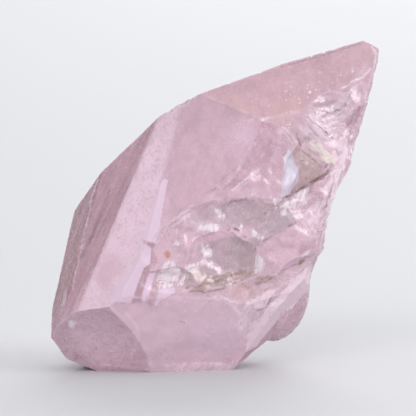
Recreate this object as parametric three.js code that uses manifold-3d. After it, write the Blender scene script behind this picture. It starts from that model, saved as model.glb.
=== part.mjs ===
// A hand-sized morganite crystal, broken from its pocket, standing on the flat break at its foot.
// Millimetres, +Z up. +X is to the right and -Y is towards someone who looks at its best side.
// The origin is the middle of the box it stands in, on the surface it stands on.
import * as THREE from "three";
import { mergeVertices } from "three/addons/utils/BufferGeometryUtils.js";
import Module from "manifold-3d";

const wasm = await Module();
wasm.setup();

// ---------------------------------------------------------------- driving dimensions

// Every plane and scoop is turned by a bearing (0 faces the viewer, 90 the right, 180 the back)
// and a rise above the horizon, both in degrees.
const HEART = [-3, 0, 33]; // the point that the reach of each face is measured from
const BLOCK = 170; // side of the rough block that the faces are split from

// The flat faces: bearing, rise, and reach from the heart.
const FACES = {
  pentagon: [5, 9, 17.0],
  etchedStrip: [-24, 15, 19.8],
  leftPrism: [-54, 22, 20.9],
  farLeftPrism: [-74, 19, 22.8],
  topRight: [15, 30, 23.6],
  upperBreak: [21, 2, 17.4],
  lowerBreak: [16, -5, 16.0],
  rightSide: [97, -18, 25.4],
  tipEnd: [115, 60, 47.5],
  lowerRight: [53, -35, 26.5],
  undercut: [100, -53, 29.6],
  footLeft: [-12, -35, 29.4],
  footMiddle: [15, -23, 20.2],
  footCorner: [-77, -66, 39.5],
  footHeel: [-99, -32, 38.3],
  leftHeel: [-106, -24, 34.8],
  leftBack: [-106, 3, 27.9],
  shoulderLeft: [-125, 57, 16.8],
  shoulder: [-122, 52, 16.2],
  ridgeBack: [-130, 59, 18.2],
  back: [-171, 5, 14.0],
  backRight: [157, 0, 18.6],
  backLeft: [-148, -5, 25.8],
  backFoot: [176, -37, 26.4],
  base: [0, -90, 33.0],
};

// The rounded swelling that stands out at the lower right.
const SWELLING = { middle: [12, 1.5, 17.2], halfWidths: [8.2, 9, 12], turns: 32, rings: 22 };

// Splinters missing from the breaks, and the low ledges where a growth layer stopped short. The
// middle is a point of the floor. The floor and each side are planes: bearing, rise, and reach
// from that middle.
const SPLINTERS = {
  windowUnderTheRidge: {
    middle: [20.0, -8.1, 42.8],
    floor: [10, -11, 0],
    sides: [[103, -59, 3.3], [-123, 15, 1.8]],
  },
  ledgeOnTheBack: {
    middle: [-8.0, 12.0, 40.0],
    floor: [-171, 5, 0],
    sides: [[95, 25, 7.0], [-10, -75, 8.0]],
  },
  innerLedgeOnTheBack: {
    middle: [-14.0, 10.3, 42.0],
    floor: [-171, 5, 0],
    sides: [[100, 30, 6.0], [-10, -68, 6.0]],
  },
};

// Shell-shaped scoops. The size is the half-width along its level axis and across it, before the
// turn. Ripples run in circles round the point that the blow struck, given in the scoop's plane.
const FINE = { height: 0.08, spacing: 3.0 };
const STRONG = { height: 0.14, spacing: 3.8 };
const SCOOPS = {
  troughByThePentagon: {
    at: [6.9, -14.5, 43.2], facing: [18, 4], size: [6.8, 2.0], depth: 0.35, turn: 51,
  },
  hollowByTheTrough: {
    at: [11.0, -13.3, 39.4], facing: [19, 3], size: [6.4, 4.4], depth: 0.45, turn: 40,
  },
  crescentWall: {
    at: [16.5, -10.7, 41.4], facing: [42, 0], size: [3.5, 5.6], depth: 1.4, turn: -9,
  },
  upperRightShell: {
    at: [25.4, -7.0, 53.6], facing: [24, 8], size: [8.2, 6.2], depth: 1.6, turn: -35,
    struck: [-5.5, 5.0], ripples: STRONG,
  },
  shellBelowTheTip: {
    at: [30.2, -4.9, 57.6], facing: [28, 16], size: [4.6, 3.6], depth: 1.3, turn: 55,
    struck: [3.0, 3.0], ripples: FINE,
  },
  smoothWindow: {
    at: [6.0, -14.1, 32.8], facing: [14, -6], size: [10.8, 4.2], depth: 1.0, turn: 3,
  },
  bandUnderTheWindow: {
    at: [-0.4, -15.7, 28.4], facing: [16, -3], size: [8.6, 3.2], depth: 0.6, turn: -4,
  },
  hollowByTheStrip: {
    at: [-10.0, -17.9, 26.2], facing: [12, 0], size: [3.2, 5.2], depth: 0.6, turn: -28,
  },
  rippledHollowOnTheRight: {
    at: [18.6, -10.1, 33.0], facing: [24, 0], size: [4.6, 4.0], depth: 0.5, turn: 20,
  },
  smokyHollow: {
    at: [2.1, -14.4, 23.3], facing: [14, -2], size: [8.2, 6.2], depth: 2.0, turn: -10,
    struck: [3, 6], ripples: FINE,
  },
  veiledHollow: {
    at: [-7.4, -16.9, 20.4], facing: [10, -12], size: [5.8, 2.8], depth: 1.1, turn: 5,
    struck: [-4, 2], ripples: FINE,
  },
  streakyHollow: {
    at: [8.6, -12.0, 17.8], facing: [18, -12], size: [6.8, 3.0], depth: 0.8, turn: 12,
    struck: [6, 0], ripples: FINE,
  },
  hollowUnderTheDome: {
    at: [15.4, -10.5, 20.8], facing: [26, -10], size: [5.8, 2.4], depth: 1.0, turn: 34,
  },
  hollowAboveTheFoot: {
    at: [9.6, -11.6, 14.2], facing: [22, -14], size: [6.4, 2.0], depth: 0.7, turn: 18,
  },
  hollowInTheRightSide: {
    at: [23.9, 0.5, 33], facing: [97, -18], size: [13, 12.4], depth: 2.0, turn: 0,
    struck: [-9, 7], ripples: FINE,
  },
  nickLowOnTheRight: {
    at: [20.8, -6.6, 21.6], facing: [70, -25], size: [4.2, 3.4], depth: 1.0, turn: 0,
  },
  nickHighOnTheRight: {
    at: [28.5, -6.0, 47.6], facing: [60, 0], size: [2.6, 3.2], depth: 0.8, turn: 0,
  },
  hollowUnderTheSwelling: {
    at: [7.1, 0, 2.8], facing: [100, -53], size: [9.0, 4.6], depth: 1.1, turn: 0,
  },
  chipOnTheShoulder: {
    at: [-6.9, -14.0, 55.9], facing: [-10, 45], size: [1.7, 1.1], depth: 0.5, turn: 0,
  },
  smallChipOnTheShoulder: {
    at: [-9.3, -13.4, 54.4], facing: [-20, 40], size: [1.3, 0.9], depth: 0.4, turn: 0,
  },
  bowlInTheFoot: {
    at: [-23.0, -13.2, 6.8], facing: [-12, -35], size: [10.4, 6.6], depth: 0.45, turn: -8,
  },
  upperShellOnTheBack: {
    at: [19, 11.2, 43], facing: [155, 3], size: [12.5, 10.5], depth: 2.4, turn: 34,
    struck: [9, 9], ripples: STRONG,
  },
  lowerShellOnTheBack: {
    at: [11.5, 13.9, 23], facing: [154, -9], size: [10.5, 12.0], depth: 2.3, turn: -16,
    struck: [-8, 9], ripples: STRONG,
  },
  shellBehindTheTip: {
    at: [25.5, 8.1, 57], facing: [152, 10], size: [9.0, 6.2], depth: 1.5, turn: -56,
  },
  shellOnTheBackFoot: {
    at: [-9, 13.0, 6], facing: [176, -37], size: [9.5, 4.6], depth: 1.2, turn: 6,
    struck: [-6, 2], ripples: FINE,
  },
};

// Width of the facets that a scoop is made of, how far its sides run on above its rim, and how
// unevenly its rim wanders, as shares of its half-width.
const FACET = 1.35;
const RUN_ON = 1.35;
const WANDER = [0.06, 0.035];

// ---------------------------------------------------------------- turning and placing

// The matrix of a frame whose z points along the bearing and rise, with x level.
function placed(at, [bearing, rise], turn = 0) {
  const b = THREE.MathUtils.degToRad(bearing);
  const r = THREE.MathUtils.degToRad(rise);
  const level = new THREE.Vector3(Math.cos(b), Math.sin(b), 0);
  const out = new THREE.Vector3(Math.sin(b) * Math.cos(r), -Math.cos(b) * Math.cos(r), Math.sin(r));
  const up = new THREE.Vector3().crossVectors(out, level);
  return new THREE.Matrix4()
    .makeBasis(level, up, out)
    .setPosition(...at)
    .multiply(new THREE.Matrix4().makeRotationZ(THREE.MathUtils.degToRad(turn)));
}

// ---------------------------------------------------------------- solids

function solid(geometry) {
  const bare = geometry.clone();
  bare.deleteAttribute("normal");
  bare.deleteAttribute("uv");
  const merged = mergeVertices(bare, 1e-5);
  return new wasm.Manifold(
    new wasm.Mesh({
      numProp: 3,
      vertProperties: new Float32Array(merged.attributes.position.array),
      triVerts: new Uint32Array(merged.index.array),
    }),
  );
}

function geometryOf(manifold) {
  const { vertProperties, triVerts } = manifold.getMesh();
  const geometry = new THREE.BufferGeometry();
  geometry.setAttribute("position", new THREE.BufferAttribute(vertProperties, 3));
  geometry.setIndex(new THREE.BufferAttribute(triVerts, 1));
  return geometry;
}

// Everything on the outer side of one plane.
function beyond(from, [bearing, rise, reach]) {
  const block = new THREE.BoxGeometry(BLOCK, BLOCK, BLOCK);
  block.translate(0, 0, reach + BLOCK / 2);
  return solid(block.applyMatrix4(placed(from, [bearing, rise])));
}

function facedBody() {
  let body = solid(new THREE.BoxGeometry(BLOCK, BLOCK, BLOCK));
  for (const face of Object.values(FACES)) {
    body = body.subtract(beyond(HEART, face));
  }
  return body;
}

function swelling() {
  const ball = new THREE.SphereGeometry(1, SWELLING.turns, SWELLING.rings);
  ball.scale(...SWELLING.halfWidths);
  ball.translate(...SWELLING.middle);
  return solid(ball);
}

function splinter({ middle, floor, sides }) {
  let piece = beyond(middle, floor);
  for (const side of sides) {
    piece = piece.subtract(beyond(middle, side));
  }
  return piece;
}

// How far the rim of a scoop stands out at one angle, as a share of its half-width.
function rimAt(angle, phase) {
  const [broad, narrow] = WANDER;
  return 1 + broad * Math.sin(3 * angle + phase) + narrow * Math.sin(7 * angle - 2 * phase);
}

function scoop({ at, facing, size, depth, turn, struck, ripples }) {
  const [along, across] = size;
  const rings = Math.ceil(Math.max(along, across) / FACET);
  const turns = Math.ceil((Math.PI * (along + across)) / FACET);
  const profile = [];
  for (let ring = 0; ring <= rings; ring += 1) {
    const t = (ring / rings) * RUN_ON;
    profile.push(new THREE.Vector2(t, t * t - 1));
  }
  profile.push(new THREE.Vector2(0, 4 * (RUN_ON * RUN_ON - 1)));
  const plug = new THREE.LatheGeometry(profile, turns);
  plug.rotateX(Math.PI / 2);
  const points = plug.attributes.position;
  for (let i = 0; i < points.count; i += 1) {
    const rim = rimAt(Math.atan2(points.getY(i), points.getX(i)), at[0]);
    const x = points.getX(i) * along * rim;
    const y = points.getY(i) * across * rim;
    let z = points.getZ(i) * depth;
    if (ripples) {
      const away = Math.hypot(x - struck[0], y - struck[1]);
      z += ripples.height * Math.sin((2 * Math.PI * away) / ripples.spacing);
    }
    points.setXYZ(i, x, y, z);
  }
  return solid(plug.applyMatrix4(placed(at, facing, turn)));
}

// ---------------------------------------------------------------- the crystal

function crystal() {
  let body = facedBody().add(swelling());
  for (const missing of Object.values(SPLINTERS)) {
    body = body.subtract(splinter(missing));
  }
  for (const missing of Object.values(SCOOPS)) {
    body = body.subtract(scoop(missing));
  }
  const geometry = geometryOf(body);
  geometry.computeBoundingBox();
  const { min, max } = geometry.boundingBox;
  geometry.translate(-(min.x + max.x) / 2, -(min.y + max.y) / 2, -min.z);
  return geometry;
}

const mesh = new THREE.Mesh(
  crystal(),
  new THREE.MeshStandardMaterial({ color: 0xd3b3c0, roughness: 0.3, metalness: 0 }),
);
mesh.name = "morganite_crystal";
const group = new THREE.Group();
group.add(mesh);
export default group;
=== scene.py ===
"""A single natural crystal of pink beryl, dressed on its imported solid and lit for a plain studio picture."""

import logging
import math
from dataclasses import dataclass, field
from enum import Enum
from typing import Any, ClassVar

import bmesh
import bpy
import numpy as np
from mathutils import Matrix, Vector, kdtree, noise
from mathutils.bvhtree import BVHTree


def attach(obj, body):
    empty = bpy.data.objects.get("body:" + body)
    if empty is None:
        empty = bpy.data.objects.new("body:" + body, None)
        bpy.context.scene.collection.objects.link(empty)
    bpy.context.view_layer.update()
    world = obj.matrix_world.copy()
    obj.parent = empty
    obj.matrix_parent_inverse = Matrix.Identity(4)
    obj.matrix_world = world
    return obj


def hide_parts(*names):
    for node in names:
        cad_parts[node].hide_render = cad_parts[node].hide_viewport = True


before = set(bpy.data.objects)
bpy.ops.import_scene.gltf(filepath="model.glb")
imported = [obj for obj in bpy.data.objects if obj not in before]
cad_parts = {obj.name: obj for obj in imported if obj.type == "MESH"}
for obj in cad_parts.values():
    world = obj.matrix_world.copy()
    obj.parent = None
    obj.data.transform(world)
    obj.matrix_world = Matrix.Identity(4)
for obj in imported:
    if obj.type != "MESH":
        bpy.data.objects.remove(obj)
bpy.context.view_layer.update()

MM = 0.001
NODE = "morganite_crystal"
log = logging.getLogger("morganite")

Point = tuple[float, float, float]
Spot = tuple[float, float]  # mm to the right of the stone's middle and mm above it, as one side shows it
Colour = tuple[float, float, float]
Span = tuple[float, float]  # where an ease starts and where it ends
Ramp = tuple[float, float, float, float]  # a span, and the results at its start and end

MIDDLE: Point = (-1.74, 1.38, 33.7)  # the stone's middle, in mm, at which every side looks
EYE_DISTANCE = 490.0  # from there to the eye, in mm
PRISM_AXIS: Point = (-0.412, -0.076, -0.908)  # the direction in which the prism grew
SEED_STEP: Point = (0.013, 0.007, 0.011)  # how far one step of a seed moves a pattern, in m
NOISE_MIDDLE = 0.5  # what a noise node gives on average
TINY = 1e-9


def linear(red: int, green: int, blue: int) -> Colour:
    """Turn an 8-bit screen colour into linear light, by the usual curve of screens.

    Args:
        red: Red, 0 to 255.
        green: Green, 0 to 255.
        blue: Blue, 0 to 255.

    Returns:
        The colour in linear light.
    """
    shares = (value / 255 for value in (red, green, blue))
    return tuple(s / 12.92 if s <= 0.04045 else ((s + 0.055) / 1.055) ** 2.4 for s in shares)


def fade(values: np.ndarray, start: float, end: float) -> np.ndarray:
    """Ease from 0 at start to 1 at end.

    Args:
        values: The numbers to ease.
        start: Where the result is 0.
        end: Where the result is 1, below start for a falling ease.

    Returns:
        Numbers from 0 to 1.
    """
    share = np.clip((values - start) / (end - start), 0, 1)
    return share * share * (3 - 2 * share)


def cloud(points: np.ndarray, size: float, seed: float) -> np.ndarray:
    """Soft noise in space.

    Args:
        points: Places in mm.
        size: About how far apart its bright and dark places are, in mm.
        seed: Moves the pattern.

    Returns:
        Numbers from about -1 to 1.
    """
    fall, finer, layers = 1.0, 2.0, 3
    places = points / size + seed
    return np.array([noise.fractal(p, fall, finer, layers) for p in places.tolist()])


class Direction:
    """Unit vectors for a face that looks along a bearing and a rise."""

    def __init__(self, bearing: float, rise: float) -> None:
        """Work the three vectors out.

        Args:
            bearing: Degrees round from the front, positive to the right.
            rise: Degrees above level.
        """
        b, r = math.radians(bearing), math.radians(rise)
        self.out = np.array((math.sin(b) * math.cos(r), -math.cos(b) * math.cos(r), math.sin(r)))
        self.level = np.array((math.cos(b), math.sin(b), 0.0))
        self.up = np.cross(self.out, self.level)


class View(Enum):
    """A side from which places on the stone are given, as a bearing and a rise in degrees."""

    FRONT = (0.0, 3.0)
    BACK = (180.0, 3.0)
    RIGHT = (90.0, 3.0)
    LEFT = (-90.0, 3.0)


class Solid:
    """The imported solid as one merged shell, in mm."""

    middle = np.array(MIDDLE)
    merge_distance = 0.001
    sharp_angle = math.radians(17)
    sample_step = 0.12

    def __init__(self) -> None:
        """Merge the node's loose triangles and find the sharp edges."""
        self.shell = bmesh.new()
        self.shell.from_mesh(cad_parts[NODE].data)
        bmesh.ops.remove_doubles(self.shell, verts=self.shell.verts, dist=self.merge_distance * MM)
        self.tree = BVHTree.FromBMesh(self.shell)
        self.outward = self._samples(True)
        self.inward = self._samples(False)

    def _samples(self, convex: bool) -> kdtree.KDTree:
        """Points along the sharp edges.

        Args:
            convex: True for the edges that stand out, False for those that lie in a valley.

        Returns:
            The points as a tree, in metres.
        """
        points = []
        for edge in self.shell.edges:
            if not edge.is_manifold or edge.calc_face_angle() < self.sharp_angle:
                continue
            if edge.is_convex != convex:
                continue
            a, b = (v.co for v in edge.verts)
            parts = max(1, math.ceil((b - a).length / (self.sample_step * MM)))
            points += [a.lerp(b, i / parts) for i in range(parts + 1)]
        tree = kdtree.KDTree(len(points))
        for i, point in enumerate(points):
            tree.insert(point, i)
        tree.balance()
        return tree

    def drop(self, view: View, across: float, up: float) -> tuple[np.ndarray, np.ndarray]:
        """Find the place on the stone that is seen at a point.

        Args:
            view: The side from which it is seen.
            across: Mm to the right of the stone's middle.
            up: Mm above the stone's middle.

        Returns:
            The place in mm and the outward direction there.
        """
        d = Direction(*view.value)
        eye = self.middle + d.out * EYE_DISTANCE
        aim = self.middle + d.level * across + d.up * up
        ray = Vector(aim - eye).normalized()
        place, normal, _, _ = self.tree.ray_cast(Vector(eye) * MM, ray)
        if place is None:  # just past the outline: the nearest place to it
            place, normal, _, _ = self.tree.find_nearest(Vector(aim) * MM)
        return np.array(place) / MM, np.array(normal)

    def seen(self, view: View, points: np.ndarray) -> np.ndarray:
        """Find where places show from a side.

        Args:
            view: The side from which they are seen.
            points: Places in mm.

        Returns:
            Their mm across and up, one row for each place.
        """
        d = Direction(*view.value)
        steps = points - self.middle
        swell = EYE_DISTANCE / (EYE_DISTANCE - steps @ d.out)
        return np.stack((steps @ d.level * swell, steps @ d.up * swell), 1)


class Skin(Enum):
    """How a face was left: how frosted, etched, grown in lines and torn it is, from 0 to 1."""

    ETCHED = (0.8, 1.0, 0.0, 0.0)
    GROWN = (0.4, 0.1, 1.0, 0.0)
    DULL = (0.55, 0.25, 0.3, 0.0)
    CLEAN = (0.3, 0.0, 0.0, 0.05)
    SCOOPED = (0.4, 0.05, 0.0, 0.25)
    UNEVEN = (0.5, 0.1, 0.0, 0.35)
    TORN = (0.6, 0.1, 0.0, 0.9)


@dataclass(frozen=True)
class Facet:
    """A flat face, by where it looks and how far it lies from the crystal's heart, in mm. Its tint holds
    painted light and shade as well as the stone's own colour.
    """

    bearing: float
    rise: float
    reach: float
    tint: Colour
    skin: Skin
    near: ClassVar[Span] = (0.3, 0.1)
    alike: ClassVar[Span] = (0.80, 0.93)

    def share(self, skins: "Skins", heart: np.ndarray) -> np.ndarray:
        """How much each place belongs to this face.

        Args:
            skins: The fine surface.
            heart: The point from which reaches are measured.

        Returns:
            1 on the face and 0 away from it.
        """
        out = Direction(self.bearing, self.rise).out
        away = np.abs((skins.points - heart) @ out - self.reach)
        return fade(away, *self.near) * fade(skins.normals @ out, *self.alike)


@dataclass(frozen=True)
class Speckle:
    """Soft noise: its size in mm, how many finer layers it has, and a seed."""

    size: float
    detail: float
    seed: float


class Grain(Enum):
    """A pattern that breaks up a colour's rim: its size in mm, direction, and squeeze along that."""

    FINE = (0.8, (0.0, 0.0, 1.0), 1.0)
    BROAD = (1.8, (0.0, 0.0, 1.0), 1.0)
    LEVEL = (0.6, (0.97, 0.0, 0.25), 0.25)
    RISING = (0.6, (0.5, 0.0, 0.87), 0.28)
    FANNED = (0.55, (0.26, 0.0, 0.97), 0.22)
    FALLING = (0.6, (0.74, 0.0, -0.67), 0.3)


@dataclass(frozen=True)
class Wash:
    """A colour over part of the stone, how frosted and torn it is there, and how its rim breaks up."""

    colour: Colour
    frost: float
    torn: float
    grain: Grain
    ragged: float
    soft: float
    weight: float


class Stain(Enum):
    """What colours part of the stone, in the order in which the colours lie on each other. The mauve is in
    places painted shade, the bright wash in places a painted highlight, and the bluish wash a painted
    reflection.
    """

    PEACH = Wash(linear(212, 176, 172), 0.5, 0.1, Grain.BROAD, 0.4, 0.4, 0.8)
    ROSE = Wash(linear(222, 188, 202), 0.4, 0.05, Grain.BROAD, 0.4, 0.4, 0.85)
    # The mauve is a tone of the stone and, in places, painted shade: on the walls between the steps, beside
    # the pentagon and on the lobe at the lower right.
    MAUVE_AND_SHADE = Wash(linear(184, 148, 162), 0.4, 0.3, Grain.BROAD, 0.5, 0.35, 0.85)
    GREY = Wash(linear(190, 171, 178), 0.15, 0.05, Grain.BROAD, 1.0, 0.4, 0.9)
    SMOKE = Wash(linear(187, 168, 172), 0.15, 0.0, Grain.BROAD, 0.4, 0.35, 0.9)
    BROWN = Wash(linear(194, 170, 166), 0.3, 0.3, Grain.FINE, 0.8, 0.3, 0.85)
    OLIVE = Wash(linear(168, 148, 138), 0.4, 0.5, Grain.LEVEL, 1.7, 0.35, 0.85)
    LILAC = Wash(linear(234, 212, 231), 0.7, 0.0, Grain.FINE, 0.2, 0.2, 0.88)
    HAZE = Wash(linear(222, 198, 214), 0.3, 0.0, Grain.BROAD, 0.15, 0.45, 0.8)
    PALE = Wash(linear(224, 206, 214), 0.6, 0.4, Grain.FALLING, 1.2, 0.4, 0.85)
    # The bluish wash is a painted reflection: the crescent of light on the curved wall of the notch.
    BLUISH_REFLECTION = Wash(linear(226, 223, 238), 0.7, 0.1, Grain.FALLING, 0.5, 0.25, 0.95)
    # The bright wash is pale frosted skin and, in places, a painted highlight: the lit ridge, pale streaks and
    # the strip along the right side.
    PALE_SKIN_AND_HIGHLIGHT = Wash(linear(248, 224, 236), 0.7, 0.4, Grain.RISING, 1.3, 0.4, 0.9)
    CREAM = Wash(linear(246, 234, 226), 0.7, 0.5, Grain.FALLING, 1.7, 0.44, 0.95)
    VEIL = Wash(linear(246, 240, 244), 0.8, 0.5, Grain.FANNED, 1.7, 0.44, 0.92)
    RUST = Wash(linear(192, 134, 98), 0.5, 0.2, Grain.FINE, 0.4, 0.3, 0.9)


@dataclass(frozen=True)
class Oval:
    """An oval on the surface, placed and measured in mm as one side shows it."""

    across: float
    up: float
    width: float
    height: float
    turn: float
    strength: float
    soft: float = 0.4
    view: View = View.FRONT
    wander: ClassVar[float] = 0.2

    def share(self, solid: Solid, skins: "Skins") -> np.ndarray:
        """How strongly each place is marked.

        Args:
            solid: The solid that carries the oval.
            skins: The fine surface.

        Returns:
            0 outside the oval, up to its strength inside.
        """
        t = math.radians(self.turn)
        steps = solid.seen(self.view, skins.points) - np.array((self.across, self.up))
        along = steps @ np.array((math.cos(t), math.sin(t))) / self.width
        aside = steps @ np.array((-math.sin(t), math.cos(t))) / self.height
        away = np.hypot(along, aside) + skins.rough * self.wander
        return fade(away, 1 + self.soft, 1 - self.soft) * self.strength * skins.facing(self.view)


@dataclass(frozen=True)
class Patch:
    """An oval of a stain's colour."""

    stain: Stain
    oval: Oval

    def share(self, solid: Solid, skins: "Skins") -> np.ndarray:
        """How strongly each place is marked."""
        return self.oval.share(solid, skins)


@dataclass(frozen=True)
class Area:
    """A stain's colour within straight sides, by their corners in mm as one side shows them."""

    stain: Stain
    corners: tuple[Spot, ...]
    strength: float
    lift: float = 0.0
    rim: float = 0.35
    view: View = View.FRONT
    wander: ClassVar[float] = 0.12

    def share(self, solid: Solid, skins: "Skins") -> np.ndarray:
        """How strongly each place is marked.

        Args:
            solid: The solid that carries the mark.
            skins: The fine surface.

        Returns:
            0 outside the area, up to its strength inside.
        """
        spots = solid.seen(self.view, skins.points)
        ends = np.array(self.corners)
        inside = np.zeros(len(spots), bool)
        away = np.full(len(spots), np.inf)
        for start, end in zip(ends, np.roll(ends, -1, 0)):
            run, steps = end - start, spots - start
            held = np.clip(steps @ run / (run @ run), 0, 1)
            away = np.minimum(away, np.linalg.norm(steps - held[:, None] * run, axis=1))
            spans = (start[1] > spots[:, 1]) != (end[1] > spots[:, 1])
            slant = run[0] / (run[1] or TINY)
            inside ^= spans & (spots[:, 0] < start[0] + (spots[:, 1] - start[1]) * slant)
        signed = np.where(inside, away, -away) + skins.rough * self.wander
        return fade(signed, -self.rim, self.rim) * self.strength * skins.facing(self.view)


@dataclass(frozen=True)
class Hair:
    """A thin line on the surface, through points given in mm as one side shows them."""

    points: tuple[Spot, ...]
    width: float
    strength: float
    view: View = View.FRONT


@dataclass
class Skins:
    """The fine surface's points and normals, and soft noise at its points."""

    points: np.ndarray
    normals: np.ndarray
    rough: np.ndarray
    turned: ClassVar[Span] = (-0.05, 0.2)

    def facing(self, view: View) -> np.ndarray:
        """How much each place turns to a side, from 0 to 1."""
        return fade(self.normals @ Direction(*view.value).out, *self.turned)


class Wiring:
    """Places nodes in one tree and joins them.

    It also keeps the two things that most of a tree's patterns read: place, where the surface is, and
    given, the sockets of the tree's inputs or of what the mesh carries, by name.
    """

    place: Any
    given: Any

    def __init__(self, tree: bpy.types.NodeTree) -> None:
        """Keep the tree."""
        self.tree = tree

    def put(self, kind: str, settings: dict[str, Any], inputs: dict[Any, Any]) -> bpy.types.Node:
        """Place a node.

        Args:
            kind: The node's type.
            settings: Its properties.
            inputs: What feeds its inputs, by name or number: a socket or a plain value.

        Returns:
            The node.
        """
        node = self.tree.nodes.new(kind)
        for name, value in settings.items():
            setattr(node, name, value)
        for name, value in inputs.items():
            if isinstance(value, bpy.types.NodeSocket):
                self.tree.links.new(value, node.inputs[name])
            else:
                node.inputs[name].default_value = value
        return node

    def sum(self, operation: str, first: Any, second: Any = 0.0, third: Any = 0.0) -> Any:
        """Do one sum.

        Args:
            operation: The Math node's operation.
            first: A socket or a number.
            second: A socket or a number.
            third: A socket or a number.

        Returns:
            The result's socket.
        """
        inputs = {0: first, 1: second, 2: third}
        return self.put("ShaderNodeMath", {"operation": operation}, inputs).outputs[0]

    def vector(self, operation: str, first: Any, second: Any = (0, 0, 0), scale: Any = 1.0) -> Any:
        """Do one sum on vectors.

        Args:
            operation: The Vector Math node's operation.
            first: A socket or a vector.
            second: A socket or a vector.
            scale: The factor for SCALE.

        Returns:
            The resulting vector's socket.
        """
        inputs = {0: first, "Scale": scale} if operation == "SCALE" else {0: first, 1: second}
        node = self.put("ShaderNodeVectorMath", {"operation": operation}, inputs)
        return node.outputs["Value" if operation in ("DOT_PRODUCT", "LENGTH") else "Vector"]

    def ramp(self, value: Any, low: Any, high: Any, start: Any = 0.0, end: Any = 1.0) -> Any:
        """Ease a value from one range to another, held at both ends.

        Args:
            value: The socket to ease.
            low: Where the result is start.
            high: Where the result is end.
            start: The first result.
            end: The last result.

        Returns:
            The result's socket.
        """
        inputs = {"Value": value, "From Min": low, "From Max": high, "To Min": start, "To Max": end}
        settings = {"interpolation_type": "SMOOTHSTEP"}
        return self.put("ShaderNodeMapRange", settings, inputs).outputs["Result"]

    def blend(self, share: Any, first: Any, second: Any) -> Any:
        """Blend two colours.

        Args:
            share: How much of the second.
            first: A socket or a colour.
            second: A socket or a colour.

        Returns:
            The colour's socket.
        """
        factor, colour_a, colour_b, result = 0, 6, 7, 2  # the Mix node's sockets for colours
        colours = [c if isinstance(c, bpy.types.NodeSocket) else (*c, 1.0) for c in (first, second)]
        inputs = {factor: share, colour_a: colours[0], colour_b: colours[1]}
        return self.put("ShaderNodeMix", {"data_type": "RGBA"}, inputs).outputs[result]

    def grain(self, place: Any, speckle: Speckle) -> Any:
        """Noise from 0 to 1.

        Args:
            place: The vector that it reads.
            speckle: Its size, detail and seed.

        Returns:
            The noise's socket.
        """
        moved = self.vector("ADD", place, tuple(step * speckle.seed for step in SEED_STEP))
        inputs = {"Vector": moved, "Scale": 1 / (speckle.size * MM), "Detail": speckle.detail}
        return self.put("ShaderNodeTexNoise", {}, inputs).outputs[0]


class Seed(float, Enum):
    """What is added to the relief's seed, so that no two of its patterns are alike."""

    ETCH = 0.0
    RIPPLE = 3.0
    GROWTH = 5.0
    CHIP = 14.0
    SWAY = 20.0
    SHARD = 31.0
    WARP = 44.0


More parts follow.
